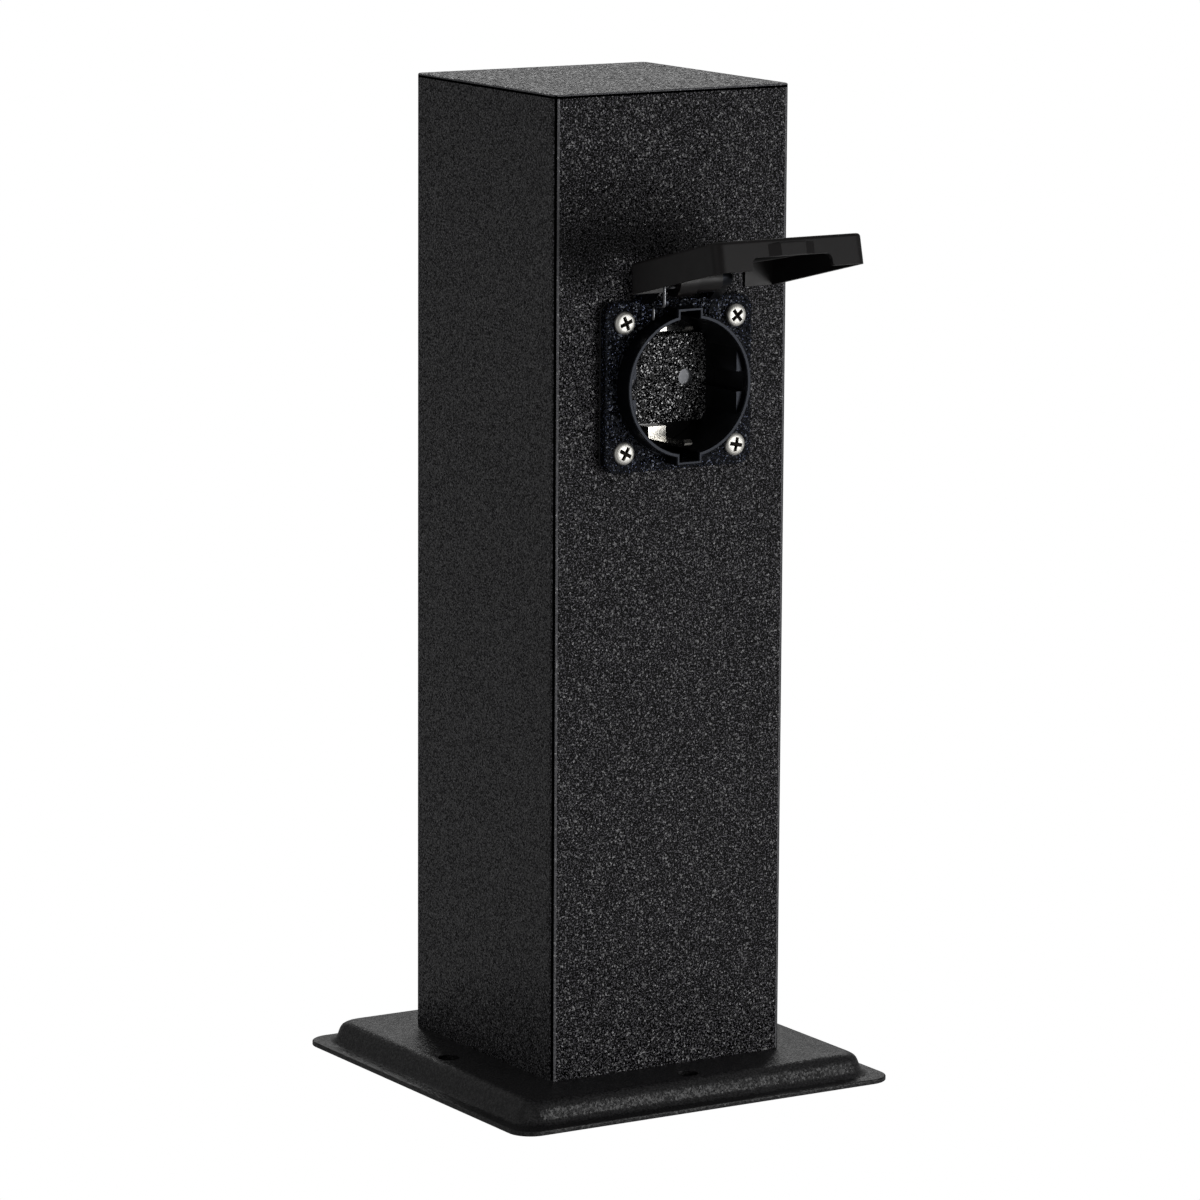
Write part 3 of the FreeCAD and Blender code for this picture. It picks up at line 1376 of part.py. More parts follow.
def terminal_screws():
    """Six screws, two for each clamp."""
    screw = body("terminal_screw_master")
    head, shank = "clamp_screw_head / 2", "clamp_screw / 2"
    length = "(wire_line - wire_size / 2 - wire_play - clamp_back + clamp_width)"
    outline = polygon(
        ("0", minus("clamp_screw * 0.8")),
        (head, minus("clamp_screw * 0.8")),
        (head, "0"),
        (shank, "0"),
        (shank, length),
        ("0", length),
    )
    revolve(screw, "XY", "V", outline)
    places = [
        (x, "clamp_back - clamp_width", f"{CLAMP_MIDDLE} {sign} clamp_screw_span / 2")
        for x in pole_places()
        for sign in "-+"
    ]
    return copies("terminal_screws", screw, places)


def terminal_block_screws():
    """Two screws that hold the block to its bracket."""
    screw = body("block_screw_master")
    head, shank = "block_screw_head / 2", "block_screw / 2"
    length = "(block_depth - block_screw + 2 * hat_sheet)"
    outline = polygon(
        ("0", minus("block_screw * 0.8")),
        (head, minus("block_screw * 0.8")),
        (head, "0"),
        (shank, "0"),
        (shank, length),
        ("0", length),
    )
    revolve(screw, "XY", "V", outline)
    seat = "hat_face - block_depth + block_screw"
    places = [(x, seat, CLAMP_MIDDLE) for x in block_screw_sides()]
    return copies("terminal_block_screws", screw, places)


def bond_body(label):
    """A body at the earth stud's foot on the post's rear wall, forward is -Y."""
    return body(label, minus(POST_INSIDE), "bond_height", "bond_side")


def earth_stud():
    """The threaded stud welded to the post's rear wall."""
    stud = bond_body("earth_stud")
    add(stud, "XZ", "0", "stud_length", circle("stud_size / 2"))
    return stud


def earth_lug():
    """The crimped cable lug under the nut."""
    lug = bond_body("earth_lug")
    add(lug, "XZ", "0", "lug_sheet", circle("lug_ring / 2"))
    low, high = "lug_ring / 2", "lug_ring / 2 + lug_barrel"
    line = "-lug_sheet - wire_size / 2"
    neck = box("-wire_size / 2", "wire_size / 2", "0", f"{low} + lug_sheet")
    add(lug, "XZ", "0", "lug_sheet", neck)
    add(lug, "XY", low, high, circle("wire_size / 2 + lug_sheet", "0", line))
    cut(lug, "XY", low, high, circle("wire_size / 2", "0", line))
    cut(lug, "XZ", "0", "lug_sheet", circle("stud_size / 2"))
    return lug


def earth_nut():
    """The hexagon nut on the earth stud."""
    nut = bond_body("earth_nut")
    start = "lug_sheet"
    end = "lug_sheet + nut_height"
    add(nut, "XZ", start, end, hexagon("nut_flats"))
    cut(nut, "XZ", start, end, circle("stud_size / 2"))
    return nut


def all_nodes():
    """Every separate piece, in the order in which the post is put together."""
    strap_entry = "terminal_low - wire_play - terminal_depth / 2"
    return [
        base_plate(),
        post_shell(),
        top_cap(),
        foot_brackets(),
        foot_screws(),
        cable_grommet(),
        terminal_bracket(),
        terminal_block(),
        terminal_clamps(),
        terminal_screws(),
        terminal_block_screws(),
        earth_stud(),
        earth_lug(),
        earth_nut(),
        socket_gasket(),
        socket_frame(),
        flange_screws(),
        contact_carrier(),
        shutter(),
        shutter_spring(),
        rear_cover(),
        contact("live_contact", "pin_span / 2"),
        contact("neutral_contact", "-pin_span / 2"),
        earth_strap(),
        earth_terminal(),
        contact_screws(),
        carrier_screws(),
        socket_wire("live_wire", "pole_pitch", "pin_span / 2", strap_entry),
        socket_wire("neutral_wire", "-pole_pitch", "-pin_span / 2", strap_entry),
        socket_wire("earth_wire", "0", "0", "earth_screw_drop"),
        bond_wire(),
        lid(),
        lid_seal(),
        hinge_pin(),
        lid_spring(),
    ]


def main():
    """Build, check and write every piece."""
    nodes = all_nodes()
    DOC.recompute()
    for item in DOC.Objects:
        if "Invalid" in item.State or "Error" in item.State:
            raise RuntimeError(f"{item.Label} failed: {item.State}")
    for node in nodes:
        if node.Shape.isNull() or not node.Shape.isValid():
            raise RuntimeError(f"{node.Label} has no valid shape")
    os.makedirs("parts", exist_ok=True)
    for node in nodes:
        node.Shape.exportStep(f"parts/{node.Label}.step")
    print(len(nodes), "nodes written")


main()
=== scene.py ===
"""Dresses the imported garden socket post: finishes, foot, screws, springs, seals, wires and the stage."""

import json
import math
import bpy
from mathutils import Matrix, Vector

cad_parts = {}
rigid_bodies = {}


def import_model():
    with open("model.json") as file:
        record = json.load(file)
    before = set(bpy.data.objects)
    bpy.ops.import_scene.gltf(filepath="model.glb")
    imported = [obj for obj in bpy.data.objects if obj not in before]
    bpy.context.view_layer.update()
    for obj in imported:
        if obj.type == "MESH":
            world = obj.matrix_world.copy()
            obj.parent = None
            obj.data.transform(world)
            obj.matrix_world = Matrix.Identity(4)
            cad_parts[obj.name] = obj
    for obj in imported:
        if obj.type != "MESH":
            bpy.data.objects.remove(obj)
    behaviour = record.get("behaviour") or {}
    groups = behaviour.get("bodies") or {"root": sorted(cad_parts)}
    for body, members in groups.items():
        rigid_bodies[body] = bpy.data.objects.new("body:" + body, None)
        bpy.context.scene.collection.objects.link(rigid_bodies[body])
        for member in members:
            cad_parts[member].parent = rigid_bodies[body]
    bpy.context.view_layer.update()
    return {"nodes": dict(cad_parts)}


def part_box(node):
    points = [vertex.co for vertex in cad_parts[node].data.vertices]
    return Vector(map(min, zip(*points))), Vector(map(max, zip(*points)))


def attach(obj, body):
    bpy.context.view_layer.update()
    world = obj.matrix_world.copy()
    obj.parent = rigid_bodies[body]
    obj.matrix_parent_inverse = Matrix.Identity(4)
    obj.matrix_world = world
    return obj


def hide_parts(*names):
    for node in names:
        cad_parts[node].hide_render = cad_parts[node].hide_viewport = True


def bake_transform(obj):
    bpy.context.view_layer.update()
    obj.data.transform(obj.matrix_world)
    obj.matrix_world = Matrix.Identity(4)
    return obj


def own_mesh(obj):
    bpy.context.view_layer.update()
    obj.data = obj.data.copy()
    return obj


bl_info = {
    "name": "Garden socket post",
    "version": (1, 0, 0),
    "blender": (4, 5, 0),
    "location": "View3D > Sidebar > Socket post",
    "description": "Finishes a square garden post with one lidded socket and sets its studio",
    "category": "Object",
}

import bmesh
import bpy
import numpy as np
from bpy.props import FloatProperty, FloatVectorProperty, PointerProperty
from mathutils import Matrix, Vector

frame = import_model()

MM = 0.001

# Places in millimetres in the model's frame: Z up, the socket faces -Y.
SOCKET_CENTRE = np.array([0.0, -40.0, 212.6])
HINGE_AXIS = np.array([0.0, -48.2, 243.65])
SCREW_STEP = 19.0
FLANGE_FACE = 4.0
# half sizes of the pitted field on the recess floor; its straight sides stand for the edge of the recess
# wall's shadow, and beyond them the floor is painted shade
SHADOW_EDGE_WIDE = 16.4
FIELD_TALL = 13.4
# the foot plate, from its middle
FOOT_REACH = 62.0
FOOT_HEIGHT = 8.0
FOOT_SHEET = 1.5
ANCHOR_STEP = 51.5
ANCHOR_RADIUS = 3.25
FOOT_SCREW_HEAD = 3.7
FOOT_SCREW_HOLE = 2.1
# how far the moving pieces go
LID_OPENING = math.radians(103.5)

# brightness of floor and world as mirror-like surfaces see them, and of the world all round
FLOOR_MIRRORED = 0.12
WORLD_MIRRORED = 0.2
WORLD_AMBIENT = 0.1


def linear(code):
    """A hex sRGB colour as linear red, green and blue."""
    shares = [int(code[n : n + 2], 16) / 255 for n in (0, 2, 4)]
    return tuple(s / 12.92 if s <= 0.04045 else ((s + 0.055) / 1.055) ** 2.4 for s in shares)


def colour(label, words, code):
    """A colour property that starts from a hex sRGB colour."""
    return FloatVectorProperty(
        name=label, description=words, subtype="COLOR", size=3, min=0, max=1, default=linear(code)
    )


def length(label, words, millimetres):
    """A length property that starts from a size in millimetres."""
    return FloatProperty(
        name=label, description=words, default=millimetres * MM, min=0, unit="LENGTH", subtype="DISTANCE"
    )


class SocketPostColours(bpy.types.PropertyGroup):
    """Colours of the post's finishes."""

    coating: colour("Powder coating", "Black of the baked powder coating", "020203")
    # coating and foot glints are painted glints: light speckle where grain tips would catch the lamps
    coating_glint: colour("Coating glint", "Grain tips of the powder coating", "7b797f")
    foot_glint: colour("Foot glint", "Grain tips of the foot plate's coating", "3a393b")
    # the coating edge colour is a painted highlight along the post's edges
    edge: colour("Coating edge", "Worn shine along the post's edges", "77777a")
    moulding: colour("Black moulding", "Black of the moulded frame", "040406")
    # moulding and recess glints are painted glints on the rims of the pits
    moulding_glint: colour("Moulding glint", "Rims of the pits in the moulded flange", "a3b0dc")
    floor_glint: colour("Recess glint", "Rims of the pits in the recess floor", "eeeef2")
    lid: colour("Lid", "Warm black of the lid", "100c0d")
    shutter: colour("Shutter", "Grey of the safety shutter", "d2d4da")
    pale_moulding: colour("Pale moulding", "Cream of the hidden mouldings", "dcd6c6")
    rubber: colour("Rubber", "Black of the seals and the grommet", "171717")
    zinc: colour("Zinc", "Bright zinc plating of the screws", "e3e1db")
    # the screw recess colour is painted shade deep in the flange screws' recesses
    recess: colour("Screw recess", "Oily shade in the screws' recesses", "2b2724")
    nickel: colour("Nickel", "Bright nickel of the earth strip", "e6e3db")
    steel: colour("Plain steel", "Uncoated sheet", "b9babc")
    wire: colour("Spring wire", "Drawn and oiled spring wire", "7c7d80")
    brass: colour("Brass", "Stamped brass of contacts and clamps", "d9b36a")
    brown: colour("Brown insulation", "Insulation of the live wire", "5a3520")
    blue: colour("Blue insulation", "Insulation of the neutral wire", "2f5fa8")
    green: colour("Green insulation", "First colour of the earth wires", "3f8a2c")
    yellow: colour("Yellow insulation", "Second colour of the earth wires", "e3c81e")
    floor: colour("Floor", "Pale floor under the post", "f2f2f2")


class SocketPostSizes(bpy.types.PropertyGroup):
    """Sizes of the finishes' patterns and of the small pieces."""

    coating_grain: length("Coating grain", "Grain of the powder coating", 0.5)
    spark_grain: length("Spark grain", "Grain of the spark-eroded moulding", 0.5)
    floor_grain: length("Recess grain", "Grain of the recess floor", 0.4)
    screw_head: length("Flange screw head", "Diameter of a flange screw's head", 6.7)
    screw_crown: length("Flange screw crown", "Height of a flange screw's head", 1.5)
    recess_span: length("Recess span", "Length of a cross recess", 4.2)
    recess_arm: length("Recess arm", "Width of a cross recess's arm", 1.05)
    lid_wire: length("Lid spring wire", "Wire of the lid spring", 0.9)
    shutter_wire: length("Shutter spring wire", "Wire of the shutter spring", 0.35)
    insulation: length("Insulated wire", "Outside of an insulated wire", 2.8)


# Nodes


def empty_tree(owner):
    """The node tree of a material or a world, with nothing in it."""
    owner.use_nodes = True
    owner.node_tree.nodes.clear()
    return owner.node_tree


def add_node(tree, kind, inputs=(), **settings):
    """Adds a shader node, sets its properties, and fills its inputs with values or other outputs."""
    made = tree.nodes.new(f"ShaderNode{kind}")
    for name, setting in settings.items():
        setattr(made, name, setting)
    for name, given in dict(inputs).items():
        if isinstance(given, bpy.types.NodeSocket):
            tree.links.new(given, made.inputs[name])
        else:
            made.inputs[name].default_value = given
    return made


def maths(tree, operation, first, second):
    """One step of arithmetic on two values."""
    return add_node(tree, "Math", {0: first, 1: second}, operation=operation).outputs["Value"]


def vector_maths(tree, operation, first, second=(0.0, 0.0, 0.0)):
    """One step of arithmetic on two vectors, or on the first alone."""
    inputs = {0: first, 1: second}
    return add_node(tree, "VectorMath", inputs, operation=operation).outputs["Vector"]


def object_place(tree):
    """The place of a point in its piece's own frame."""
    return add_node(tree, "TexCoord").outputs["Object"]


def parts_of(tree, place):
    """The X, Y and Z outputs of a place."""
    return add_node(tree, "SeparateXYZ", {0: place}).outputs


def folded_parts(tree, place):
    """The same without their signs, so that what is said of one side holds for the other."""
    return parts_of(tree, vector_maths(tree, "ABSOLUTE", place))


def from_socket(tree, place):
    """A place counted from the middle of the socket on the post's front face."""
    return vector_maths(tree, "ADD", place, tuple(-SOCKET_CENTRE * MM))


def radius_about_y(tree, place):
    """How far a place stands from its origin, seen from the front."""
    flat = vector_maths(tree, "MULTIPLY", place, (1.0, 0.0, 1.0))
    return add_node(tree, "VectorMath", {0: flat}, operation="LENGTH").outputs["Value"]


def noise(tree, place, scale, detail, rough=0.5):
    """Noise with so many grains to the metre."""
    inputs = {"Vector": place, "Scale": scale, "Detail": detail, "Roughness": rough}
    return add_node(tree, "TexNoise", inputs).outputs["Fac"]


def ramp(tree, value, start, end, low=0.0, high=1.0):
    """A value that goes from start to end, and no further, as another rises from low to high."""
    inputs = {"Value": value, "From Min": low, "From Max": high, "To Min": start, "To Max": end}
    return add_node(tree, "MapRange", inputs).outputs["Result"]


def mix_colours(tree, share, first, second):
    """A colour between two."""
    inputs = {"Factor": share, 6: first, 7: second}
    return add_node(tree, "Mix", inputs, data_type="RGBA").outputs[2]


def fine_relief(tree, height, strength, distance):
    """A normal that follows a relief of so many metres."""
    inputs = {"Height": height, "Strength": strength, "Distance": distance}
    return add_node(tree, "Bump", inputs).outputs["Normal"]


def join(shader, **outputs):
    """Links outputs to the shader's inputs; keywords are the inputs' names with underscores."""
    for name, output in outputs.items():
        shader.id_data.links.new(output, shader.inputs[name.replace("_", " ")])


def opaque(colour_value):
    """A property's colour with full alpha."""
    return (*colour_value, 1.0)


def grain_noise(tree, place, grain):
    """Noise whose grains have the given size."""
    return noise(tree, place, 1 / grain, 1.0, 0.6)


def speckle(tree, pattern, dark, light, low, high):
    """A colour that goes from dark to light where a pattern rises from low to high."""
    return mix_colours(tree, ramp(tree, pattern, 0.0, 1.0, low, high), opaque(dark), opaque(light))


def leaning_grains(tree, place, grain, lean):
    """A normal that leans a way of its own within each grain; lean 1 gives up to some 30 degrees."""
    cells = add_node(tree, "TexVoronoi", {"Vector": place, "Scale": 1 / grain})
    way = vector_maths(tree, "ADD", cells.outputs["Color"], (-0.5, -0.5, -0.5))
    leaning = add_node(tree, "VectorMath", {0: way, "Scale": lean}, operation="SCALE")
    upright = add_node(tree, "NewGeometry").outputs["Normal"]
    return vector_maths(tree, "NORMALIZE", vector_maths(tree, "ADD", upright, leaning.outputs["Vector"]))


# Materials


def new_material(name, **shader):
    """A material with one Principled shader; keywords are the shader's input names with underscores."""
    made = bpy.data.materials.new(name)
    tree = empty_tree(made)
    inputs = {key.replace("_", " "): given for key, given in shader.items()}
    principled = add_node(tree, "BsdfPrincipled", inputs)
    add_node(tree, "OutputMaterial", {"Surface": principled.outputs["BSDF"]})
    return made, tree, principled


def finish_nodes(material, *names):
    """Gives CAD nodes one material."""
    for name in names:
        slots = frame["nodes"][name].data.materials
        slots.clear()
        slots.append(material)


def painted_edge_highlight_and_shade(tree, place):
    """Two masks along the post's edges: one for a painted highlight, one for the painted shade beside it.

    An upright edge has a dark crest with a lit line on its front side, and the top edge has a lit
    rim with a dark line below. How near an upright edge is shows in the sum of X and Y.
    """
    line_start, crest_start = 1.55 * MM, 1.13 * MM
    rim_wide, rim_deep, shade_deep, foot_gap = 0.6 * MM, 0.5 * MM, 1.2 * MM, 0.2 * MM
    low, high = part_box("post_shell")
    half, top = high[0], high[2]
    sides = folded_parts(tree, place)

    def beyond(value, limit):
        return maths(tree, "GREATER_THAN", value, limit)

    both = maths(tree, "ADD", sides["X"], sides["Y"])
    further = maths(tree, "MAXIMUM", sides["X"], sides["Y"])
    crest = beyond(both, 2 * half - crest_start)
    front_side = maths(tree, "SUBTRACT", beyond(sides["Y"], sides["X"]), crest)
    lit_line = maths(tree, "MULTIPLY", front_side, beyond(both, 2 * half - line_start))
    rim = beyond(sides["Z"], top - rim_deep)
    lit_rim = maths(tree, "MULTIPLY", rim, beyond(further, half - rim_wide))
    dark_rim = maths(tree, "SUBTRACT", beyond(sides["Z"], top - shade_deep), rim)
    above_foot = beyond(sides["Z"], low[2] + foot_gap)
    pairs = ((lit_line, lit_rim), (crest, dark_rim))
    return [maths(tree, "MULTIPLY", maths(tree, "MAXIMUM", *pair), above_foot) for pair in pairs]


def powder_coating(colours, sizes):
    """Polyester powder, sprayed and baked: hard grains, some of which mirror a lamp to the eye."""
    made, tree, shader = new_material("powder coating baked coarse", IOR=1.5)
    place = object_place(tree)
    # grains of about 0.2 mm are drawn at 0.5 mm, which the camera can still tell apart
    grains = grain_noise(tree, place, sizes.coating_grain)
    # the light speckle is painted glint on the grain tips, beside the real glints of the leaning grains
    tone = speckle(tree, grains, colours.coating, colours.coating_glint, 0.55, 0.62)
    lit, dark = painted_edge_highlight_and_shade(tree, place)
    # painted highlight on the edge lines, then painted shade on the crests and below the top rim, where the
    # shine is taken away too
    tone = mix_colours(tree, lit, tone, opaque(colours.edge))
    tone = mix_colours(tree, dark, tone, opaque(colours.coating))
    join(
        shader,
        Base_Color=tone,
        Specular_IOR_Level=ramp(tree, dark, 0.26, 0.0),
        Normal=leaning_grains(tree, place, sizes.coating_grain, 0.85),
        # grain tips are rubbed smoother than the hollows
        Roughness=ramp(tree, grains, 0.26, 0.16, 0.35, 0.7),
    )
    return made


def foot_coating(colours, sizes):
    """The foot plate's finer powder: it flowed smoother, so its bends carry soft highlights."""
    made, tree, shader = new_material(
        "powder coating baked fine", Roughness=0.38, IOR=1.5, Specular_IOR_Level=0.45
    )
    place = object_place(tree)
    grains = grain_noise(tree, place, sizes.coating_grain)
    # the light speckle is painted glint on the grain tips
    tone = speckle(tree, grains, colours.coating, colours.foot_glint, 0.4, 0.7)
    join(shader, Base_Color=tone, Normal=leaning_grains(tree, place, sizes.coating_grain, 0.3))
    return made


def pitted_skin(tree, shader, place, grain, mask, dark, light, low, high):
    """Pits with painted glints on their rims and leaning walls where the mask is one, and plain dark skin
    elsewhere.
    """
    tone = speckle(tree, grain_noise(tree, place, grain), dark, light, low, high)
    skin = mix_colours(tree, mask, opaque(dark), tone)
    join(shader, Base_Color=skin, Normal=leaning_grains(tree, place, grain, mask))


def frame_moulding(colours, sizes):
    """Glass-filled polyamide from a spark-eroded mould: pitted on the flange, satin on the collar."""
    made, tree, shader = new_material(
        "polyamide moulded with pitted flange",
        IOR=1.53,
        Specular_IOR_Level=0.25,
        Specular_Tint=(0.78, 0.84, 1.0, 1.0),
    )
    collar_skin, flange_front = 21.3 * MM, -4.4 * MM
    place = object_place(tree)
    centred = from_socket(tree, place)
    outside = maths(tree, "GREATER_THAN", radius_about_y(tree, centred), collar_skin)
    behind = maths(tree, "GREATER_THAN", parts_of(tree, centred)["Y"], flange_front)
    pitted = maths(tree, "MULTIPLY", outside, behind)
    pitted_skin(
        tree, shader, place, sizes.spark_grain, pitted, colours.moulding, colours.moulding_glint, 0.64, 0.74
    )
    join(shader, Roughness=ramp(tree, pitted, 0.36, 0.22))
    return made


def pitted_moulding(colours, sizes):
    """The same moulding as the recess floor: a pitted field with painted white glints and a plain dark
    edge, which at the field's sides is painted shade of the recess wall's shadow.
    """
    made, tree, shader = new_material(
        "polyamide moulded pitted", Roughness=0.14, IOR=1.53, Specular_IOR_Level=0.9
    )
    place = object_place(tree)
    sides = folded_parts(tree, from_socket(tree, place))
    # plain dark beyond the sides: painted shade where the recess wall's shadow falls
    across = maths(tree, "LESS_THAN", sides["X"], SHADOW_EDGE_WIDE * MM)
    up = maths(tree, "LESS_THAN", sides["Z"], FIELD_TALL * MM)
    field = maths(tree, "MULTIPLY", across, up)
    pitted_skin(
        tree, shader, place, sizes.floor_grain, field, colours.moulding, colours.floor_glint, 0.62, 0.7
    )
    return made


def satin_moulding(name, colour_value, rough, waviness, shine=0.5):
    """Thermoplastic from a polished mould: satin, with faint flow marks some 4 mm long."""
    made, tree, shader = new_material(
        name, Base_Color=opaque(colour_value), IOR=1.5, Specular_IOR_Level=shine
    )
    place = object_place(tree)
    flow = noise(tree, place, 0.25 / MM, 2.0)
    fine = noise(tree, place, 3.2 / MM, 1.0)
    join(
        shader,
        Roughness=ramp(tree, flow, rough * 0.8, rough * 1.25),
        Normal=fine_relief(tree, fine, waviness, 0.05 * MM),
    )
    return made


def plated_metal(name, colour_value, rough):
    """Plated metal: bright, with fine hazy patches some 1 mm across where the bath left them."""
    made, tree, shader = new_material(name, Base_Color=opaque(colour_value), Metallic=1.0)
    haze = noise(tree, object_place(tree), 0.9 / MM, 4.0)
    join(
        shader,
        Roughness=ramp(tree, haze, rough * 0.6, rough * 1.5),
        Normal=fine_relief(tree, haze, 0.12, 0.1 * MM),
    )
    return made


def screw_plating(colours):
    """The flange screws' zinc plating, with painted shade deep in each recess."""
    made = plated_metal("steel zinc plated with painted recess shade", colours.zinc, 0.45)
    tree = made.node_tree
    shader = next(node for node in tree.nodes if node.type == "BSDF_PRINCIPLED")
    # painted shade: a dark disc deep in each recess
    shade_radius, shade_start, shade_end = 2.3 * MM, 4.85 * MM, 5.35 * MM
    # the four screws fold onto one, whose axis is the new origin
    folded = vector_maths(tree, "ABSOLUTE", from_socket(tree, object_place(tree)))
    screw = vector_maths(tree, "ADD", folded, (-SCREW_STEP * MM, 0.0, -SCREW_STEP * MM))
    near = maths(tree, "LESS_THAN", radius_about_y(tree, screw), shade_radius)
    deep = ramp(tree, parts_of(tree, screw)["Y"], 1.0, 0.0, shade_start, shade_end)
    recess_shade = maths(tree, "MULTIPLY", near, deep)
    tone = mix_colours(tree, recess_shade, opaque(colours.zinc), opaque(colours.recess))
    join(shader, Base_Color=tone)
    return made


def rolled_metal(name, colour_value, rough, along):
    """Rolled sheet or drawn wire: fine lines along one direction, about 0.15 mm apart."""
    made, tree, shader = new_material(name, Base_Color=opaque(colour_value), Metallic=1.0)
    stretched = add_node(tree, "Mapping", {"Vector": object_place(tree), "Scale": along})
    lines = noise(tree, stretched.outputs["Vector"], 6.5 / MM, 2.0)
    join(
        shader,
        Roughness=ramp(tree, lines, rough * 0.7, rough * 1.4),
        Normal=fine_relief(tree, lines, 0.2, 0.04 * MM),
    )
    return made


def soft_rubber(colours):
    """Pressed rubber: dull, with a velvety edge and a dusting of specks about 0.5 mm wide."""
    made, tree, shader = new_material(
        "rubber pressed",
        Base_Color=opaque(colours.rubber),
        Roughness=0.75,
        IOR=1.52,
        Sheen_Weight=0.15,
        Sheen_Roughness=0.5,
    )
    specks = noise(tree, object_place(tree), 1.8 / MM, 3.0)
    join(shader, Normal=fine_relief(tree, specks, 0.25, 0.1 * MM))
    return made


def insulation(name, first, second=None):
    """Extruded insulation: glossy, with dull patches 1.4 mm wide, in one colour or in two halves."""
    made, tree, shader = new_material(name, Base_Color=opaque(first), IOR=1.53)
    place = object_place(tree)
    dust = noise(tree, place, 0.7 / MM, 2.0)
    join(shader, Roughness=ramp(tree, dust, 0.25, 0.4))
    if second is not None:
        side = maths(tree, "GREATER_THAN", parts_of(tree, place)["Y"], 0.0)
        join(shader, Base_Color=mix_colours(tree, side, opaque(first), opaque(second)))
    return made


# Meshes and pieces


def box_mm(node):
    """Lowest and highest corners of a CAD node in millimetres."""
    return [np.array(corner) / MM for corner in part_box(node)]


def new_object(name, data):
    """An object of some data, in the scene."""
    made = bpy.data.objects.new(name, data)
    bpy.context.scene.collection.objects.link(made)
    return made


def grid_faces(rows, columns, start):
    """Corner numbers of the quads of a grid of points whose last column joins its first."""
    row, column = np.meshgrid(np.arange(rows - 1), np.arange(columns), indexing="ij")
    here = row * columns + column
    beside = row * columns + (column + 1) % columns
    corners = np.stack([here, beside, beside + columns, here + columns], axis=-1)
    return corners.reshape(-1, 4) + start


def merge_and_turn_out(mesh):
    """Joins doubled points at seams and poles and turns every face outwards."""
    work = bmesh.new()
    work.from_mesh(mesh)
    bmesh.ops.remove_doubles(work, verts=work.verts, dist=1e-7)
    bmesh.ops.dissolve_degenerate(work, edges=work.edges, dist=1e-8)
    bmesh.ops.recalc_face_normals(work, faces=work.faces)
    work.to_mesh(mesh)
    work.free()


def grid_mesh(name, grids):
    """One smooth mesh from grids of points in millimetres."""
    points, faces, start = [], [], 0
    for grid in grids:
        rows, columns = grid.shape[:2]
        points.append(grid.reshape(-1, 3))
        faces.append(grid_faces(rows, columns, start))
        start += rows * columns
    mesh = bpy.data.meshes.new(name)
    mesh.from_pydata(np.concatenate(points) * MM, [], np.concatenate(faces).tolist())
    merge_and_turn_out(mesh)
    mesh.shade_smooth()
    return mesh


def without(name, whole, cutter):
    """The mesh that is left of one closed mesh when another is cut out of it."""
    block, tool = new_object(name, whole), new_object("cutter", cutter)
    cut = block.modifiers.new("cut", "BOOLEAN")
    cut.operation = "DIFFERENCE"
    cut.solver = "EXACT"
    cut.object = tool
    bpy.context.view_layer.update()
    left = bpy.data.meshes.new_from_object(block.evaluated_get(bpy.context.evaluated_depsgraph_get()))
    left.name = name
    bpy.data.batch_remove((block, tool, whole, cutter))
    left.set_sharp_from_angle(angle=math.radians(35))
    return left


def hang_piece(data, material, node, body="post"):
    """An object of one material that stands for a CAD node and rides on a body, or on none."""
    data.materials.clear()
    data.materials.append(material)
    piece = new_object(data.name, data)
    if body:
        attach(piece, body)
    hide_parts(node)
    return piece


def surface_piece(node, made_how, grids, material, body="post"):
    """Puts grids of points, in millimetres, into one smooth mesh that stands for a CAD node."""
    return hang_piece(grid_mesh(f"{node}_{made_how}", grids), material, node, body)


# Surfaces


def turned(radius, height, angle):
    """Points about Z from radii, heights and angles that fit each other as arrays."""
    radius, height, angle = np.broadcast_arrays(radius, height, angle)
    return np.stack([radius * np.cos(angle), radius * np.sin(angle), height], axis=-1)


def whole_turn(columns):
    """Angles evenly round a circle."""
    return np.linspace(0, 2 * np.pi, columns, endpoint=False)


def revolved(profile, columns):
    """A closed profile of (radius, height) pairs turned about Z."""
    profile = np.concatenate([profile, profile[:1]])
    return turned(profile[:, :1], profile[:, 1:], whole_turn(columns))


def pin_grid(place, radius, low, high, columns=48):
    """A closed upright cylinder, without the line that would close its profile along the axis."""
    rings = revolved(np.array([[0.0, low], [radius, low], [radius, high], [0.0, high]]), columns)
    return rings[:-1] + np.array([*place, 0.0])


def along_axis(local, place, outward):
    """Turns points whose third coordinate runs out of a screw's head to a place and direction."""
    outward = np.asarray(outward, float)
    side = np.array([1.0, 0.0, 0.0])
    up = np.cross(outward, side)
    return place + local[..., :1] * side + local[..., 1:2] * up + local[..., 2:] * outward


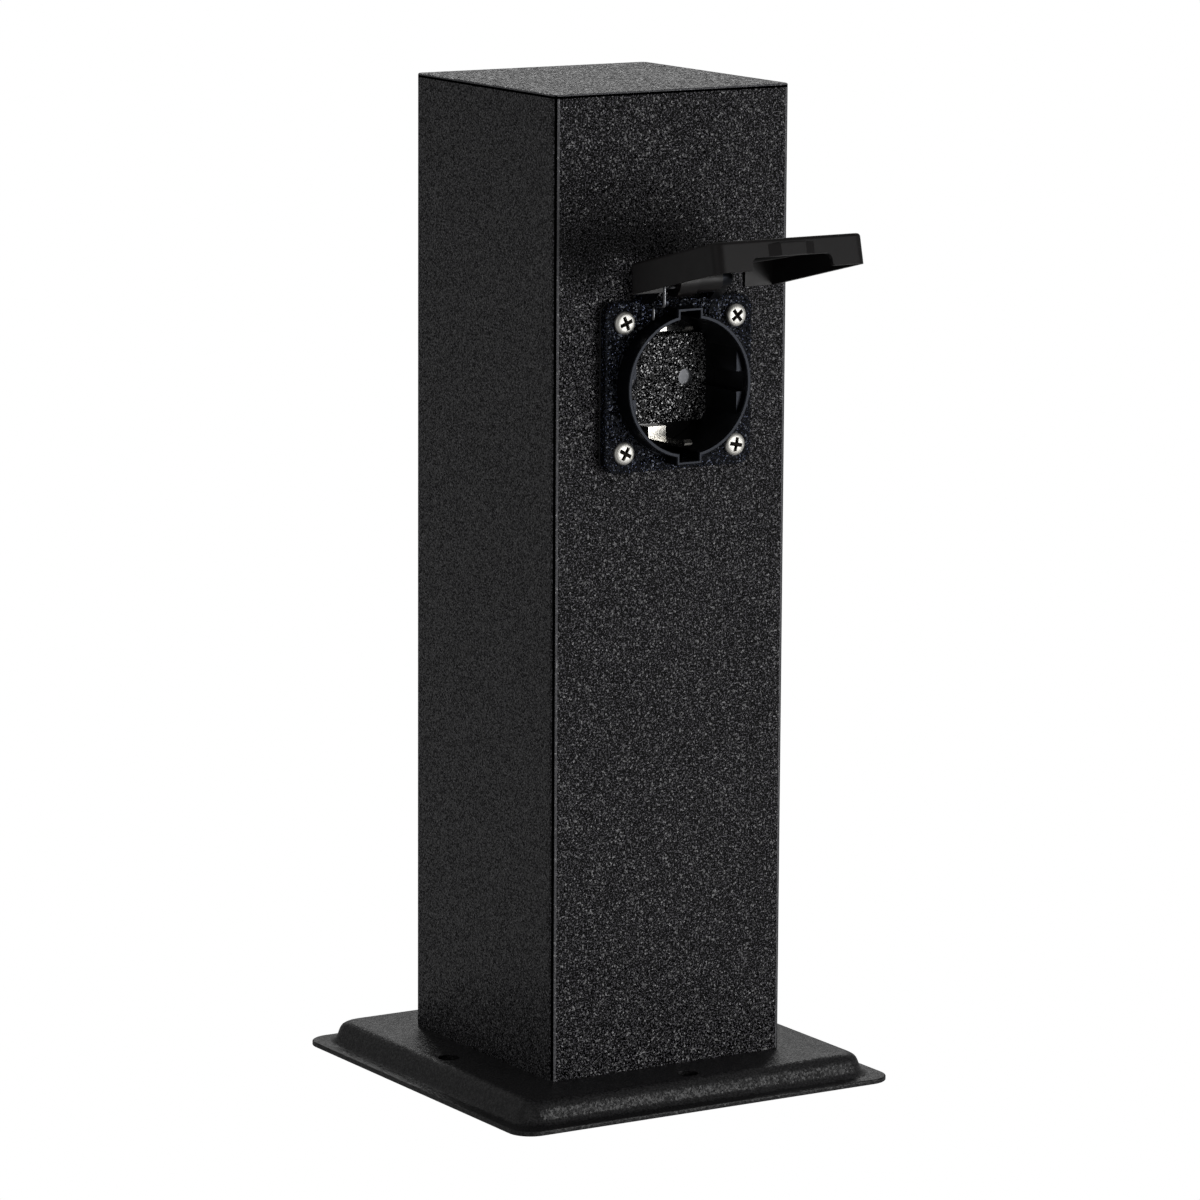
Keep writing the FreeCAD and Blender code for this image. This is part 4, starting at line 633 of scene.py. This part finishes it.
def screw_grid(head, crown, shank, long, pitch, recess, rows, columns, turn):
    """One screw as a turned profile over angle: a crowned head, its recess, and a threaded shank.

    The head's height is crown * (0.3 + 0.7 * sqrt(1 - share ** 5)) over the share of its radius,
    less a recess whose walls rise over a short way. The shank's radius swings between core and
    crest with height and angle.
    """
    straight, thread_depth = 0.3, 0.16
    angle = whole_turn(columns)[None, :]
    share = np.linspace(0, 1, rows)[:, None] ** 0.8
    radius = head * share * np.ones_like(angle)
    height = crown * (straight + (1 - straight) * np.sqrt(np.clip(1 - share**5, 0, 1)))
    height = height - recess(radius * np.cos(angle + turn), radius * np.sin(angle + turn))
    top = turned(radius, height, angle)
    side = turned(head, np.array([[straight * crown], [0.0]]), angle)
    # the shank goes down from under the head, six rings to a turn of its thread
    down = np.linspace(0, 1, max(8, int(long / pitch * 6)))[:, None]
    phase = long * down / pitch - angle / (2 * np.pi)
    wave = np.abs((phase % 1.0) * 2 - 1)
    depth = thread_depth * shank * np.clip(down * 8, 0, 1)
    point = np.clip((1 - down) * long / (1.2 * shank), 0.25, 1)
    thread = turned((shank - depth * wave) * point, -long * down, angle)
    tip = turned(0.0, -long, angle)
    return np.concatenate([top, side, thread, tip])


def screw_grids(places, outward, turns, *shape):
    """Screws of one shape whose heads face outward, each turned by its own angle.

    The shape is head radius, crown, shank radius, length, pitch, recess, and rows and columns.
    """
    pairs = zip(places, turns)
    return [along_axis(screw_grid(*shape, turn), np.array(place), outward) for place, turn in pairs]


def cross_recess(span, arm, deep):
    """Depth of a cross recess: two bars that cross, each with a floor that rises outwards."""
    wall, rise = 0.15, 0.55

    def depth(across, up):
        first = np.clip(np.minimum(span / 2 - abs(across), arm / 2 - abs(up)) / wall, 0, 1)
        second = np.clip(np.minimum(span / 2 - abs(up), arm / 2 - abs(across)) / wall, 0, 1)
        fall = 1 - rise * np.clip(np.hypot(across, up) / (span / 2), 0, 1)
        return deep * np.maximum(first, second) * fall

    return depth


def slot_recess(arm, deep):
    """Depth of a straight slot right across the head."""
    wall = 0.08

    def depth(across, up):
        return deep * np.clip((arm / 2 - abs(up)) / wall, 0, 1)

    return depth


def tube_grid(path, radius, sides, last_normal):
    """A round tube: rings of radius about a path of points.

    Each ring stands square to the path, and its first direction is the cross product of the path's
    direction with X. Where the path itself runs along X, last_normal takes its place.
    """
    way = np.gradient(path, axis=0)
    way /= np.linalg.norm(way, axis=1, keepdims=True)
    normal = np.cross(way, [1.0, 0.0, 0.0])
    size = np.linalg.norm(normal, axis=1, keepdims=True)
    normal = np.where(size > 0.05, normal / np.maximum(size, 1e-9), last_normal)
    other = np.cross(way, normal)
    angle = whole_turn(sides)[None, :, None]
    tube = path[:, None] + radius * (np.cos(angle) * normal[:, None] + np.sin(angle) * other[:, None])
    ends = [np.repeat(path[n][None, None], sides, axis=1) for n in (0, -1)]
    return np.concatenate([ends[0], tube, ends[1]])


def quarter_bend(centre, first, second, radius, count):
    """Points of a quarter circle from the direction first to the direction second."""
    angle = np.linspace(0, np.pi / 2, count)[:, None]
    return centre + radius * (np.cos(angle) * np.asarray(first) + np.sin(angle) * np.asarray(second))


def rounded_square(angle, half, corner):
    """Distance from the middle to a rounded square's edge along each angle."""
    across, up = abs(np.cos(angle)), abs(np.sin(angle))
    straight = half / np.maximum(across, up)
    lead = (half - corner) * (across + up)
    bend_reach = lead + np.sqrt(np.maximum(lead**2 - 2 * (half - corner) ** 2 + corner**2, 0))
    return np.where(straight * np.minimum(across, up) > half - corner, bend_reach, straight)


def gasket_grid(half, corner, hole, thick, columns=240, rows=7):
    """A flat ring from a round hole to a rounded square, whose outer edge bulges as a half round."""
    angle = whole_turn(columns)
    bulge = np.linspace(-np.pi / 2, np.pi / 2, rows)
    inset = thick / 2 * (1 - np.cos(bulge))
    depth = -thick / 2 - thick / 2 * np.sin(bulge)
    edge = np.stack([rounded_square(angle, half - i, corner - i) for i in inset])
    inner = np.full((1, columns), hole)
    reach = np.concatenate([inner, edge, inner, inner])
    back = np.concatenate([depth[:1], depth, depth[-1:], depth[:1]])[:, None]
    return turned(reach, back, angle)[..., [0, 2, 1]]


def bent_line(corners, radii, count=9):
    """A line through flat corner points, each rounded with its radius in a fan of count points."""
    line_points = [corners[0]]
    for before, corner, after, radius in zip(corners, corners[1:], corners[2:], radii):
        towards = [np.subtract(end, corner) for end in (before, after)]
        first, second = (way / np.linalg.norm(way) for way in towards)
        half_turn = np.arccos(np.clip(first @ second, -1, 1)) / 2
        middle = (first + second) / np.linalg.norm(first + second)
        centre = corner + middle * radius / np.sin(half_turn)
        start, end = (corner + way * radius / np.tan(half_turn) for way in (first, second))
        share = np.linspace(0, 1, count)[:, None]
        spoke = (start - centre) * (1 - share) + (end - centre) * share
        spoke *= radius / np.maximum(np.linalg.norm(spoke, axis=1, keepdims=True), 1e-9)
        line_points.extend(centre + spoke)
    return np.array([*line_points, corners[-1]])


def plate_grid(profile, corner_radii, columns=96):
    """A profile of (half side, height) swept round a square whose corners are rounded.

    corner_radii holds half sides and the corner radius at each. Columns stand closer at the
    corners: as t goes from -1 to 1, a quarter's angle is 45 * (1 + 0.25 t + 0.75 t ** 3) degrees.
    """
    share = np.linspace(-1, 1, columns, endpoint=False)
    quarter = np.radians(45 + 45 * (0.25 * share + 0.75 * share**3))
    angle = np.concatenate([quarter + turn * np.pi / 2 for turn in range(4)])
    halves, heights = profile[:, 0], profile[:, 1:]
    corners = np.interp(halves, *corner_radii)
    reach = np.stack([rounded_square(angle, half, corner) for half, corner in zip(halves, corners)])
    return turned(reach, heights, angle)


def opened(points):
    """Turns points drawn on the closed lid, counted from the hinge axis, to the open lid."""
    turn = -LID_OPENING
    y = points[..., 1] * math.cos(turn) - points[..., 2] * math.sin(turn)
    z = points[..., 1] * math.sin(turn) + points[..., 2] * math.cos(turn)
    return np.stack([points[..., 0], y, z], axis=-1) + HINGE_AXIS


def bead_profile(inner, outer, low, high, rows=7):
    """A closed strip profile whose inner and outer edges are half rounds."""
    middle, half = (low + high) / 2, (high - low) / 2
    angle = np.linspace(-np.pi / 2, np.pi / 2, rows)
    right = np.stack([outer - half + half * np.cos(angle), middle + half * np.sin(angle)], axis=1)
    left = np.stack([inner + outer - right[::-1, 0], right[::-1, 1]], axis=1)
    return np.concatenate([right, left])


def foot_screw_places():
    """Where the four foot screws stand across the foot plate."""
    low, high = box_mm("foot_screws")
    rows, columns = ((low[n] + FOOT_SCREW_HEAD, high[n] - FOOT_SCREW_HEAD) for n in (0, 1))
    return [(x, y) for x in rows for y in columns]


# Operators, one for each group of pieces


class SOCKETPOST_OT_coating(bpy.types.Operator):
    """Give the post and its cap their baked powder coating"""

    bl_idname = "socket_post.coating"
    bl_label = "Coat post"

    def execute(self, context):
        coating = powder_coating(context.scene.socket_post_colours, context.scene.socket_post_sizes)
        finish_nodes(coating, "post_shell", "top_cap")
        return {"FINISHED"}


class SOCKETPOST_OT_foot(bpy.types.Operator):
    """Press the foot plate, with its holes, and coat it"""

    bl_idname = "socket_post.foot"
    bl_label = "Press foot plate"

    def execute(self, context):
        plate = without("base_plate_pressed", self.tray(), self.hole_cutter())
        coating = foot_coating(context.scene.socket_post_colours, context.scene.socket_post_sizes)
        hang_piece(plate, coating, "base_plate")
        return {"FINISHED"}

    def tray(self):
        """The pressed sheet: a rim, a step up to the plateau, and the cable inlet's hole."""
        height, sheet, inlet = FOOT_HEIGHT, FOOT_SHEET, 10.0
        side = box_mm("base_plate")[1][0]
        step_foot, step_top = side - 4.9, side - 7.3
        lean = (step_foot - step_top) / (height - sheet)
        # the hollow keeps the sheet's thickness, square to the step's slope
        inset = sheet * (math.hypot(1, lean) - lean)
        corners = [
            (inlet, height),
            (step_top, height),
            (step_foot, sheet),
            (side, sheet),
            (side, 0.0),
            (step_foot - inset, 0.0),
            (step_top - inset, height - sheet),
            (inlet, height - sheet),
            (inlet, height),
        ]
        bend_radii = (4.0, 2.5, 0.4, 0.3, 0.1, 2.5, 0.1)
        profile = bent_line(corners, bend_radii)
        # round at the inlet, tight on the plateau, wider at the step's foot and the rim
        corner_radii = ((inlet, 50.0, step_top, step_foot, side), (inlet, 5.0, 5.0, 7.5, 7.0))
        return grid_mesh("tray", [plate_grid(profile, corner_radii)])

    def hole_cutter(self):
        """Pins where the foot screws and the ground anchors go through."""
        anchors = [(ANCHOR_STEP, 0), (-ANCHOR_STEP, 0), (0, ANCHOR_STEP), (0, -ANCHOR_STEP)]
        low, high = -2.0, FOOT_HEIGHT + 2.0
        pins = [pin_grid(place, FOOT_SCREW_HOLE, low, high) for place in foot_screw_places()]
        pins += [pin_grid(place, ANCHOR_RADIUS, low, high) for place in anchors]
        return grid_mesh("cutter", pins)


class SOCKETPOST_OT_mouldings(bpy.types.Operator):
    """Give the socket's frame, floor, lid, shutter and hidden mouldings their plastics"""

    bl_idname = "socket_post.mouldings"
    bl_label = "Finish mouldings"

    def execute(self, context):
        colours, sizes = context.scene.socket_post_colours, context.scene.socket_post_sizes
        finish_nodes(frame_moulding(colours, sizes), "socket_frame")
        finish_nodes(pitted_moulding(colours, sizes), "contact_carrier")
        finish_nodes(satin_moulding("polyamide moulded satin", colours.lid, 0.42, 0.25, 0.36), "lid")
        finish_nodes(satin_moulding("polyamide moulded grey", colours.shutter, 0.45, 0.2), "shutter")
        pale = satin_moulding("urea moulded pale", colours.pale_moulding, 0.3, 0.15)
        finish_nodes(pale, "rear_cover", "terminal_block")
        return {"FINISHED"}


class SOCKETPOST_OT_metals(bpy.types.Operator):
    """Give brackets, clamps, contacts, earth parts and hinge pin their metals"""

    bl_idname = "socket_post.metals"
    bl_label = "Finish metals"

    def execute(self, context):
        colours = context.scene.socket_post_colours
        upright, deep = (1.0, 1.0, 0.06), (1.0, 0.08, 1.0)
        steel = rolled_metal("steel sheet rolled", colours.steel, 0.34, upright)
        finish_nodes(steel, "foot_brackets", "terminal_bracket", "earth_stud")
        brass = rolled_metal("brass stamped", colours.brass, 0.28, deep)
        finish_nodes(
            brass, "terminal_clamps", "live_contact", "neutral_contact", "earth_terminal", "earth_lug"
        )
        finish_nodes(plated_metal("spring bronze nickel plated", colours.nickel, 0.24), "earth_strap")
        zinc = plated_metal("steel zinc plated turned", colours.zinc, 0.25)
        finish_nodes(zinc, "hinge_pin", "earth_nut")
        return {"FINISHED"}


class SOCKETPOST_OT_screws(bpy.types.Operator):
    """Make every screw, with its recess and thread"""

    bl_idname = "socket_post.screws"
    bl_label = "Make screws"

    def execute(self, context):
        colours = context.scene.socket_post_colours
        self.flange_screws(screw_plating(colours), context.scene.socket_post_sizes)
        zinc = plated_metal("steel zinc plated", colours.zinc, 0.26)
        self.foot_screws(zinc)
        self.hidden_screws(zinc)
        return {"FINISHED"}

    def flange_screws(self, plating, sizes):
        """The four bright screws in the socket's flange, left at odd angles by the fitter."""
        head, crown = sizes.screw_head / MM / 2, sizes.screw_crown / MM
        cross = cross_recess(sizes.recess_span / MM, sizes.recess_arm / MM, 1.3)
        steps = (-SCREW_STEP, SCREW_STEP)
        places = [SOCKET_CENTRE + np.array([x, -FLANGE_FACE, z]) for x in steps for z in steps]
        shape = (head, crown, 1.75, 8.0, 1.3, cross, 60, 144)
        grids = screw_grids(places, (0, -1, 0), (0.5, 1.2, 0.2, 0.9), *shape)
        surface_piece("flange_screws", "turned", grids, plating)

    def foot_screws(self, zinc):
        """The four screws that hold the post's brackets to the foot plate from below."""
        places = [(x, y, FOOT_HEIGHT - FOOT_SHEET) for x, y in foot_screw_places()]
        shape = (FOOT_SCREW_HEAD, 2.4, 2.0, 6.0, 0.7, cross_recess(3.6, 0.9, 1.1), 36, 72)
        grids = screw_grids(places, (0, 0, -1), (0.4,) * len(places), *shape)
        surface_piece("foot_screws", "turned", grids, zinc)

    def hidden_screws(self, zinc):
        """The slotted screws of terminal block, contacts and carrier."""
        # places across, heights, Y, head radius, crown, shank radius, length, and way out
        rows = {
            "terminal_screws": ((-12.0, 0.0, 12.0), (111.0, 119.0), 12.0, 2.5, 2.0, 1.25, 2.4, -1),
            "terminal_block_screws": ((-6.0, 6.0), (115.0,), 11.0, 2.1, 2.4, 1.5, 15.0, -1),
            "carrier_screws": ((-22.0, 22.0), (212.6,), -24.92, 1.85, 1.3, 1.1, 8.0, 1),
        }
        for node, (across, heights, back, head, crown, shank, long, way) in rows.items():
            places = [(x, back, z) for x in across for z in heights]
            turns = [0.3 * n for n in range(len(places))]
            shape = (head, crown, shank, long, 0.5, slot_recess(0.9, crown / 2), 20, 48)
            grids = screw_grids(places, (0, way, 0), turns, *shape)
            surface_piece(node, "turned", grids, zinc)
        places = [(x, -13.0, z) for x, z in ((-9.5, 204.6), (0.0, 208.6), (9.5, 204.6))]
        shape = (1.6, 1.2, 1.2, 1.5, 0.45, slot_recess(0.9, 0.6), 16, 40)
        grids = screw_grids(places, (0, 1, 0), (0.6,) * len(places), *shape)
        surface_piece("contact_screws", "turned", grids, zinc)


class SOCKETPOST_OT_springs(bpy.types.Operator):
    """Wind the lid spring and the shutter spring from round wire"""

    bl_idname = "socket_post.springs"
    bl_label = "Wind springs"

    def execute(self, context):
        colours, sizes = context.scene.socket_post_colours, context.scene.socket_post_sizes
        wire = rolled_metal("spring steel drawn", colours.wire, 0.32, (1.0, 1.0, 0.3))
        self.lid_spring(wire, sizes.lid_wire / MM)
        self.shutter_spring(wire, sizes.shutter_wire / MM)
        return {"FINISHED"}

    def lid_spring(self, wire, size):
        """Leg on the flange, a step forward, the coil about the hinge pin, and a tang into the barrel.

        Places are counted from the hinge axis. The coil's angle falls evenly from half a turn, by
        one turn, the half turn and the lid's opening, while X goes from left to right.
        """
        left, right, tang_end, radius, corner = -9.25, -6.6, -3.1, 2.15, 1.2
        wall, shelf, low = 3.7, -7.45, -11.85
        turns = 1 + (180 + math.degrees(LID_OPENING)) % 360 / 360
        wall_bend = np.array([left, wall - corner, shelf - corner])
        coil_bend = np.array([left, -radius + corner, shelf + corner])
        leg = [
            np.linspace([left, wall, low], [left, wall, shelf - corner], 12),
            quarter_bend(wall_bend, (0, 1, 0), (0, 0, 1), corner, 10)[1:],
            np.linspace([left, wall - corner, shelf], [left, -radius + corner, shelf], 8)[1:],
            quarter_bend(coil_bend, (0, 0, -1), (0, -1, 0), corner, 10)[1:],
            np.linspace([left, -radius, shelf + corner], [left, -radius, 0], 12)[1:],
        ]
        share = np.linspace(0, 1, 120)[1:, None]
        angle = np.pi - 2 * np.pi * turns * share
        coil = np.concatenate(
            [left + (right - left) * share, radius * np.cos(angle), radius * np.sin(angle)], axis=1
        )
        way = np.array([0.0, math.sin(angle[-1, 0]), -math.cos(angle[-1, 0])])
        centre = coil[-1] + np.array([corner, 0.0, 0.0])
        turn = quarter_bend(centre, (-1, 0, 0), way, corner, 12)[1:]
        tang = np.linspace(turn[-1], [tang_end, *turn[-1][1:]], 8)[1:]
        path = np.concatenate([*leg, coil, turn, tang]) + HINGE_AXIS
        grid = tube_grid(path, size / 2, 20, np.cross(way, [1.0, 0.0, 0.0]))
        spring = surface_piece("lid_spring", "wound", [grid], wire, None)
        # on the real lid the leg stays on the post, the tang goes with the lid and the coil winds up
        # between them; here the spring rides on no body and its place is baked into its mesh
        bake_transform(spring)

    def shutter_spring(self, wire, size):
        """A plain coil between the shutter's tab and its seat in the floor."""
        turns = 8
        low, high = box_mm("shutter_spring")
        middle = (low + high) / 2
        radius = (high[2] - low[2] - size) / 2
        share = np.linspace(0, 1, turns * 24)[:, None]
        angle = 2 * np.pi * turns * share
        along = low[0] + size / 2 + (high[0] - low[0] - size) * share
        path = np.concatenate(
            [along, middle[1] + radius * np.cos(angle), middle[2] + radius * np.sin(angle)], axis=1
        )
        grid = tube_grid(path, size / 2, 10, np.array([0.0, 1.0, 0.0]))
        coil = surface_piece("shutter_spring", "wound", [grid], wire)
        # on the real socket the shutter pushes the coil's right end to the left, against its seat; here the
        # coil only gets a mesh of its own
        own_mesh(coil)


class SOCKETPOST_OT_seals(bpy.types.Operator):
    """Press the flange gasket, the lid seal and the cable grommet from rubber"""

    bl_idname = "socket_post.seals"
    bl_label = "Make seals"

    def execute(self, context):
        rubber = soft_rubber(context.scene.socket_post_colours)
        self.lid_seal(rubber)
        self.grommet(rubber)
        gasket = gasket_grid(25.0, 4.0, 24.4, 1.0) + SOCKET_CENTRE
        surface_piece("socket_gasket", "pressed", [gasket], rubber)
        return {"FINISHED"}

    def lid_seal(self, rubber):
        """A ring on the closed lid's inner face, its height running back from the face."""
        face, middle = -3.3, -31.05
        ring = revolved(bead_profile(18.8, 20.9, 0.0, 1.2), 128)
        closed = np.stack([ring[..., 0], face + ring[..., 2], ring[..., 1] + middle], axis=-1)
        surface_piece("lid_seal", "pressed", [opened(closed)], rubber, "splash_lid")

    def grommet(self, rubber):
        """A ring with a half-round lip above and below the sheet that it sits in."""
        bore, lip, neck, thick = 5.0, 13.0, 10.0, 2.0
        top, under = FOOT_HEIGHT, FOOT_HEIGHT - FOOT_SHEET
        upper = bead_profile(bore, lip, top, top + thick)
        lower = bead_profile(bore, lip, under - thick, under)
        half = len(upper) // 2
        outline = np.concatenate([lower[:half], [[neck, under], [neck, top]], upper, lower[half:]])
        grid = revolved(outline, 96)
        surface_piece("cable_grommet", "pressed", [grid], rubber)


class SOCKETPOST_OT_wires(bpy.types.Operator):
    """Lay the insulated wires between the terminal block, the socket and the earth stud"""

    bl_idname = "socket_post.wires"
    bl_label = "Lay wires"

    def execute(self, context):
        colours, sizes = context.scene.socket_post_colours, context.scene.socket_post_sizes
        green = insulation("insulation green and yellow", colours.green, colours.yellow)
        brown = insulation("insulation brown", colours.brown)
        blue = insulation("insulation blue", colours.blue)
        front, back = -16, 16
        # node, material, slot, X at the terminal block, X at the socket, and entry height
        routes = (
            ("live_wire", brown, "brown_insulation", 12, 9.5, 196.5),
            ("neutral_wire", blue, "blue_insulation", -12, -9.5, 196.5),
            ("earth_wire", green, "green_insulation", 0, 0, 208.6),
        )
        for node, material, slot, pole, side, entry in routes:
            points = [(pole, back, 115.1), (pole, back, 148), (side, front, 169.6), (side, front, entry)]
            self.wire(node, points, material, slot, sizes.insulation)
        points = [(0, back, 114.9), (0, back, 86.4), (24, 36.1, 70.6), (24, 36.1, 45.1)]
        self.wire("earth_bond_wire", points, green, "green_insulation", sizes.insulation)
        return {"FINISHED"}

    def wire(self, node, points, material, slot, size):
        """One wire as a smooth spline of round section between two terminals."""
        data = bpy.data.curves.new(f"{node}_laid", "CURVE")
        data.dimensions = "3D"
        data.bevel_depth = size / 2
        data.bevel_resolution = 5
        data.resolution_u = 24
        data.use_fill_caps = True
        spline = data.splines.new("NURBS")
        spline.points.add(len(points) - 1)
        for point, place in zip(spline.points, points):
            point.co = (*(c * MM for c in place), 1)
        spline.order_u = 3
        spline.use_endpoint_u = True
        hang_piece(data, material, node)


class SOCKETPOST_OT_stage(bpy.types.Operator):
    """Lay the pale floor, hang the studio lamps and set the camera"""

    bl_idname = "socket_post.stage"
    bl_label = "Set the stage"

    def execute(self, context):
        self.floor(context.scene.socket_post_colours)
        self.world(context)
        self.lamps()
        self.camera(context)
        context.scene.view_settings.view_transform = "Standard"
        return {"FINISHED"}

    def floor(self, colours):
        """A wide pale floor that the camera sees as white, and mirror-like surfaces as grey."""
        half, gap = 6.0, 0.2 * MM
        mesh = bpy.data.meshes.new("floor")
        corners = [(-half, -half, -gap), (half, -half, -gap), (half, half, -gap), (-half, half, -gap)]
        mesh.from_pydata(corners, [], [(0, 1, 2, 3)])
        material = bpy.data.materials.new("floor pale paper")
        tree = empty_tree(material)
        paper = add_node(tree, "BsdfDiffuse", {"Color": opaque(colours.floor)})
        glow = add_node(tree, "Emission", {"Color": (1, 1, 1, 1), "Strength": 1.0})
        path = add_node(tree, "LightPath").outputs
        mirrored = maths(tree, "MULTIPLY", path["Is Glossy Ray"], FLOOR_MIRRORED)
        share = maths(tree, "MAXIMUM", path["Is Camera Ray"], mirrored)
        lit = maths(tree, "MULTIPLY", share, self.beside_foot(tree))
        both = {0: lit, 1: paper.outputs["BSDF"], 2: glow.outputs["Emission"]}
        mix = add_node(tree, "MixShader", both)
        add_node(tree, "OutputMaterial", {"Surface": mix.outputs["Shader"]})
        mesh.materials.append(material)
        new_object("floor", mesh)

    def beside_foot(self, tree):
        """One beside the foot plate and nought under it, so that the anchor holes stay dark."""
        sides = folded_parts(tree, object_place(tree))
        reach = maths(tree, "MAXIMUM", sides["X"], sides["Y"])
        return maths(tree, "GREATER_THAN", reach, FOOT_REACH * MM)

    def world(self, context):
        """White behind the object, grey in its reflections, and a faint light from all round."""
        world = bpy.data.worlds.new("studio")
        tree = empty_tree(world)
        path = add_node(tree, "LightPath").outputs
        seen = maths(tree, "MAXIMUM", path["Is Camera Ray"], path["Is Transmission Ray"])
        mirrored = maths(tree, "MULTIPLY", path["Is Glossy Ray"], WORLD_MIRRORED)
        strength = maths(tree, "MAXIMUM", maths(tree, "MAXIMUM", seen, mirrored), WORLD_AMBIENT)
        back = add_node(tree, "Background", {"Color": (1, 1, 1, 1), "Strength": strength})
        add_node(tree, "OutputWorld", {"Surface": back.outputs["Background"]})
        context.scene.world = world

    def lamps(self):
        """A low front key from the right, a broad left fill and a softbox behind, above the view."""
        # name, place, target, width, height in metres, and power in watts
        rows = (
            ("key_low_right", (0.45, -1.0, 0.13), (0.0, -0.04, 0.2), 0.48, 0.42, 4.2),
            ("fill_left", (-1.1, -0.35, 0.45), (0.0, 0.0, 0.15), 0.9, 0.9, 0.6),
            ("softbox_behind", (0.85, 1.4, 0.9), (0.0, 0.0, 0.25), 1.0, 0.4, 2.5),
        )
        for name, place, target, wide, tall, power in rows:
            data = bpy.data.lights.new(name, "AREA")
            data.shape = "RECTANGLE"
            data.size = wide
            data.size_y = tall
            data.energy = power
            lamp = new_object(name, data)
            lamp.location = place
            lamp.rotation_mode = "QUATERNION"
            lamp.rotation_quaternion = (Vector(target) - Vector(place)).to_track_quat("-Z", "Y")

    def camera(self, context):
        """The camera that was fitted to the photograph's edges and screws."""
        azimuth, rise, roll = (math.radians(a) for a in (-31.585, 10.171, 0.326))
        distance, target = 1.79637, Vector((0.000466, 0.0, 0.14194))
        back = Vector(
            (math.sin(azimuth) * math.cos(rise), -math.cos(azimuth) * math.cos(rise), math.sin(rise))
        )
        right = Vector((math.cos(azimuth), math.sin(azimuth), 0.0))
        up = back.cross(right)
        tilted_right = right * math.cos(roll) + up * math.sin(roll)
        tilted_up = up * math.cos(roll) - right * math.sin(roll)
        data = bpy.data.cameras.new("camera")
        data.sensor_width = 36.0
        data.lens = 180.45
        data.clip_start = 0.05
        data.clip_end = 20.0
        camera = new_object("camera", data)
        turn = Matrix((tilted_right, tilted_up, back)).transposed()
        camera.matrix_world = Matrix.LocRotScale(target + back * distance, turn.to_quaternion(), None)
        context.scene.camera = camera


class SOCKETPOST_PT_panel(bpy.types.Panel):
    """Lists the steps that dress the post"""

    bl_idname = "SOCKETPOST_PT_panel"
    bl_label = "Garden socket post"
    bl_space_type = "VIEW_3D"
    bl_region_type = "UI"
    bl_category = "Socket post"

    def draw(self, context):
        for step in STEPS:
            self.layout.operator(step.bl_idname)


STEPS = (
    SOCKETPOST_OT_coating,
    SOCKETPOST_OT_foot,
    SOCKETPOST_OT_mouldings,
    SOCKETPOST_OT_metals,
    SOCKETPOST_OT_screws,
    SOCKETPOST_OT_springs,
    SOCKETPOST_OT_seals,
    SOCKETPOST_OT_wires,
    SOCKETPOST_OT_stage,
)
CLASSES = (SocketPostColours, SocketPostSizes, *STEPS, SOCKETPOST_PT_panel)


def register():
    """Registers the classes and their settings."""
    for kind in CLASSES:
        bpy.utils.register_class(kind)
    bpy.types.Scene.socket_post_colours = PointerProperty(type=SocketPostColours)
    bpy.types.Scene.socket_post_sizes = PointerProperty(type=SocketPostSizes)


def unregister():
    """Takes the settings and classes away again."""
    del bpy.types.Scene.socket_post_sizes
    del bpy.types.Scene.socket_post_colours
    for kind in reversed(CLASSES):
        bpy.utils.unregister_class(kind)


def main():
    """Runs every step in order."""
    register()
    for step in STEPS:
        group, name = step.bl_idname.split(".")
        getattr(getattr(bpy.ops, group), name)()


if __name__ == "__main__":
    main()
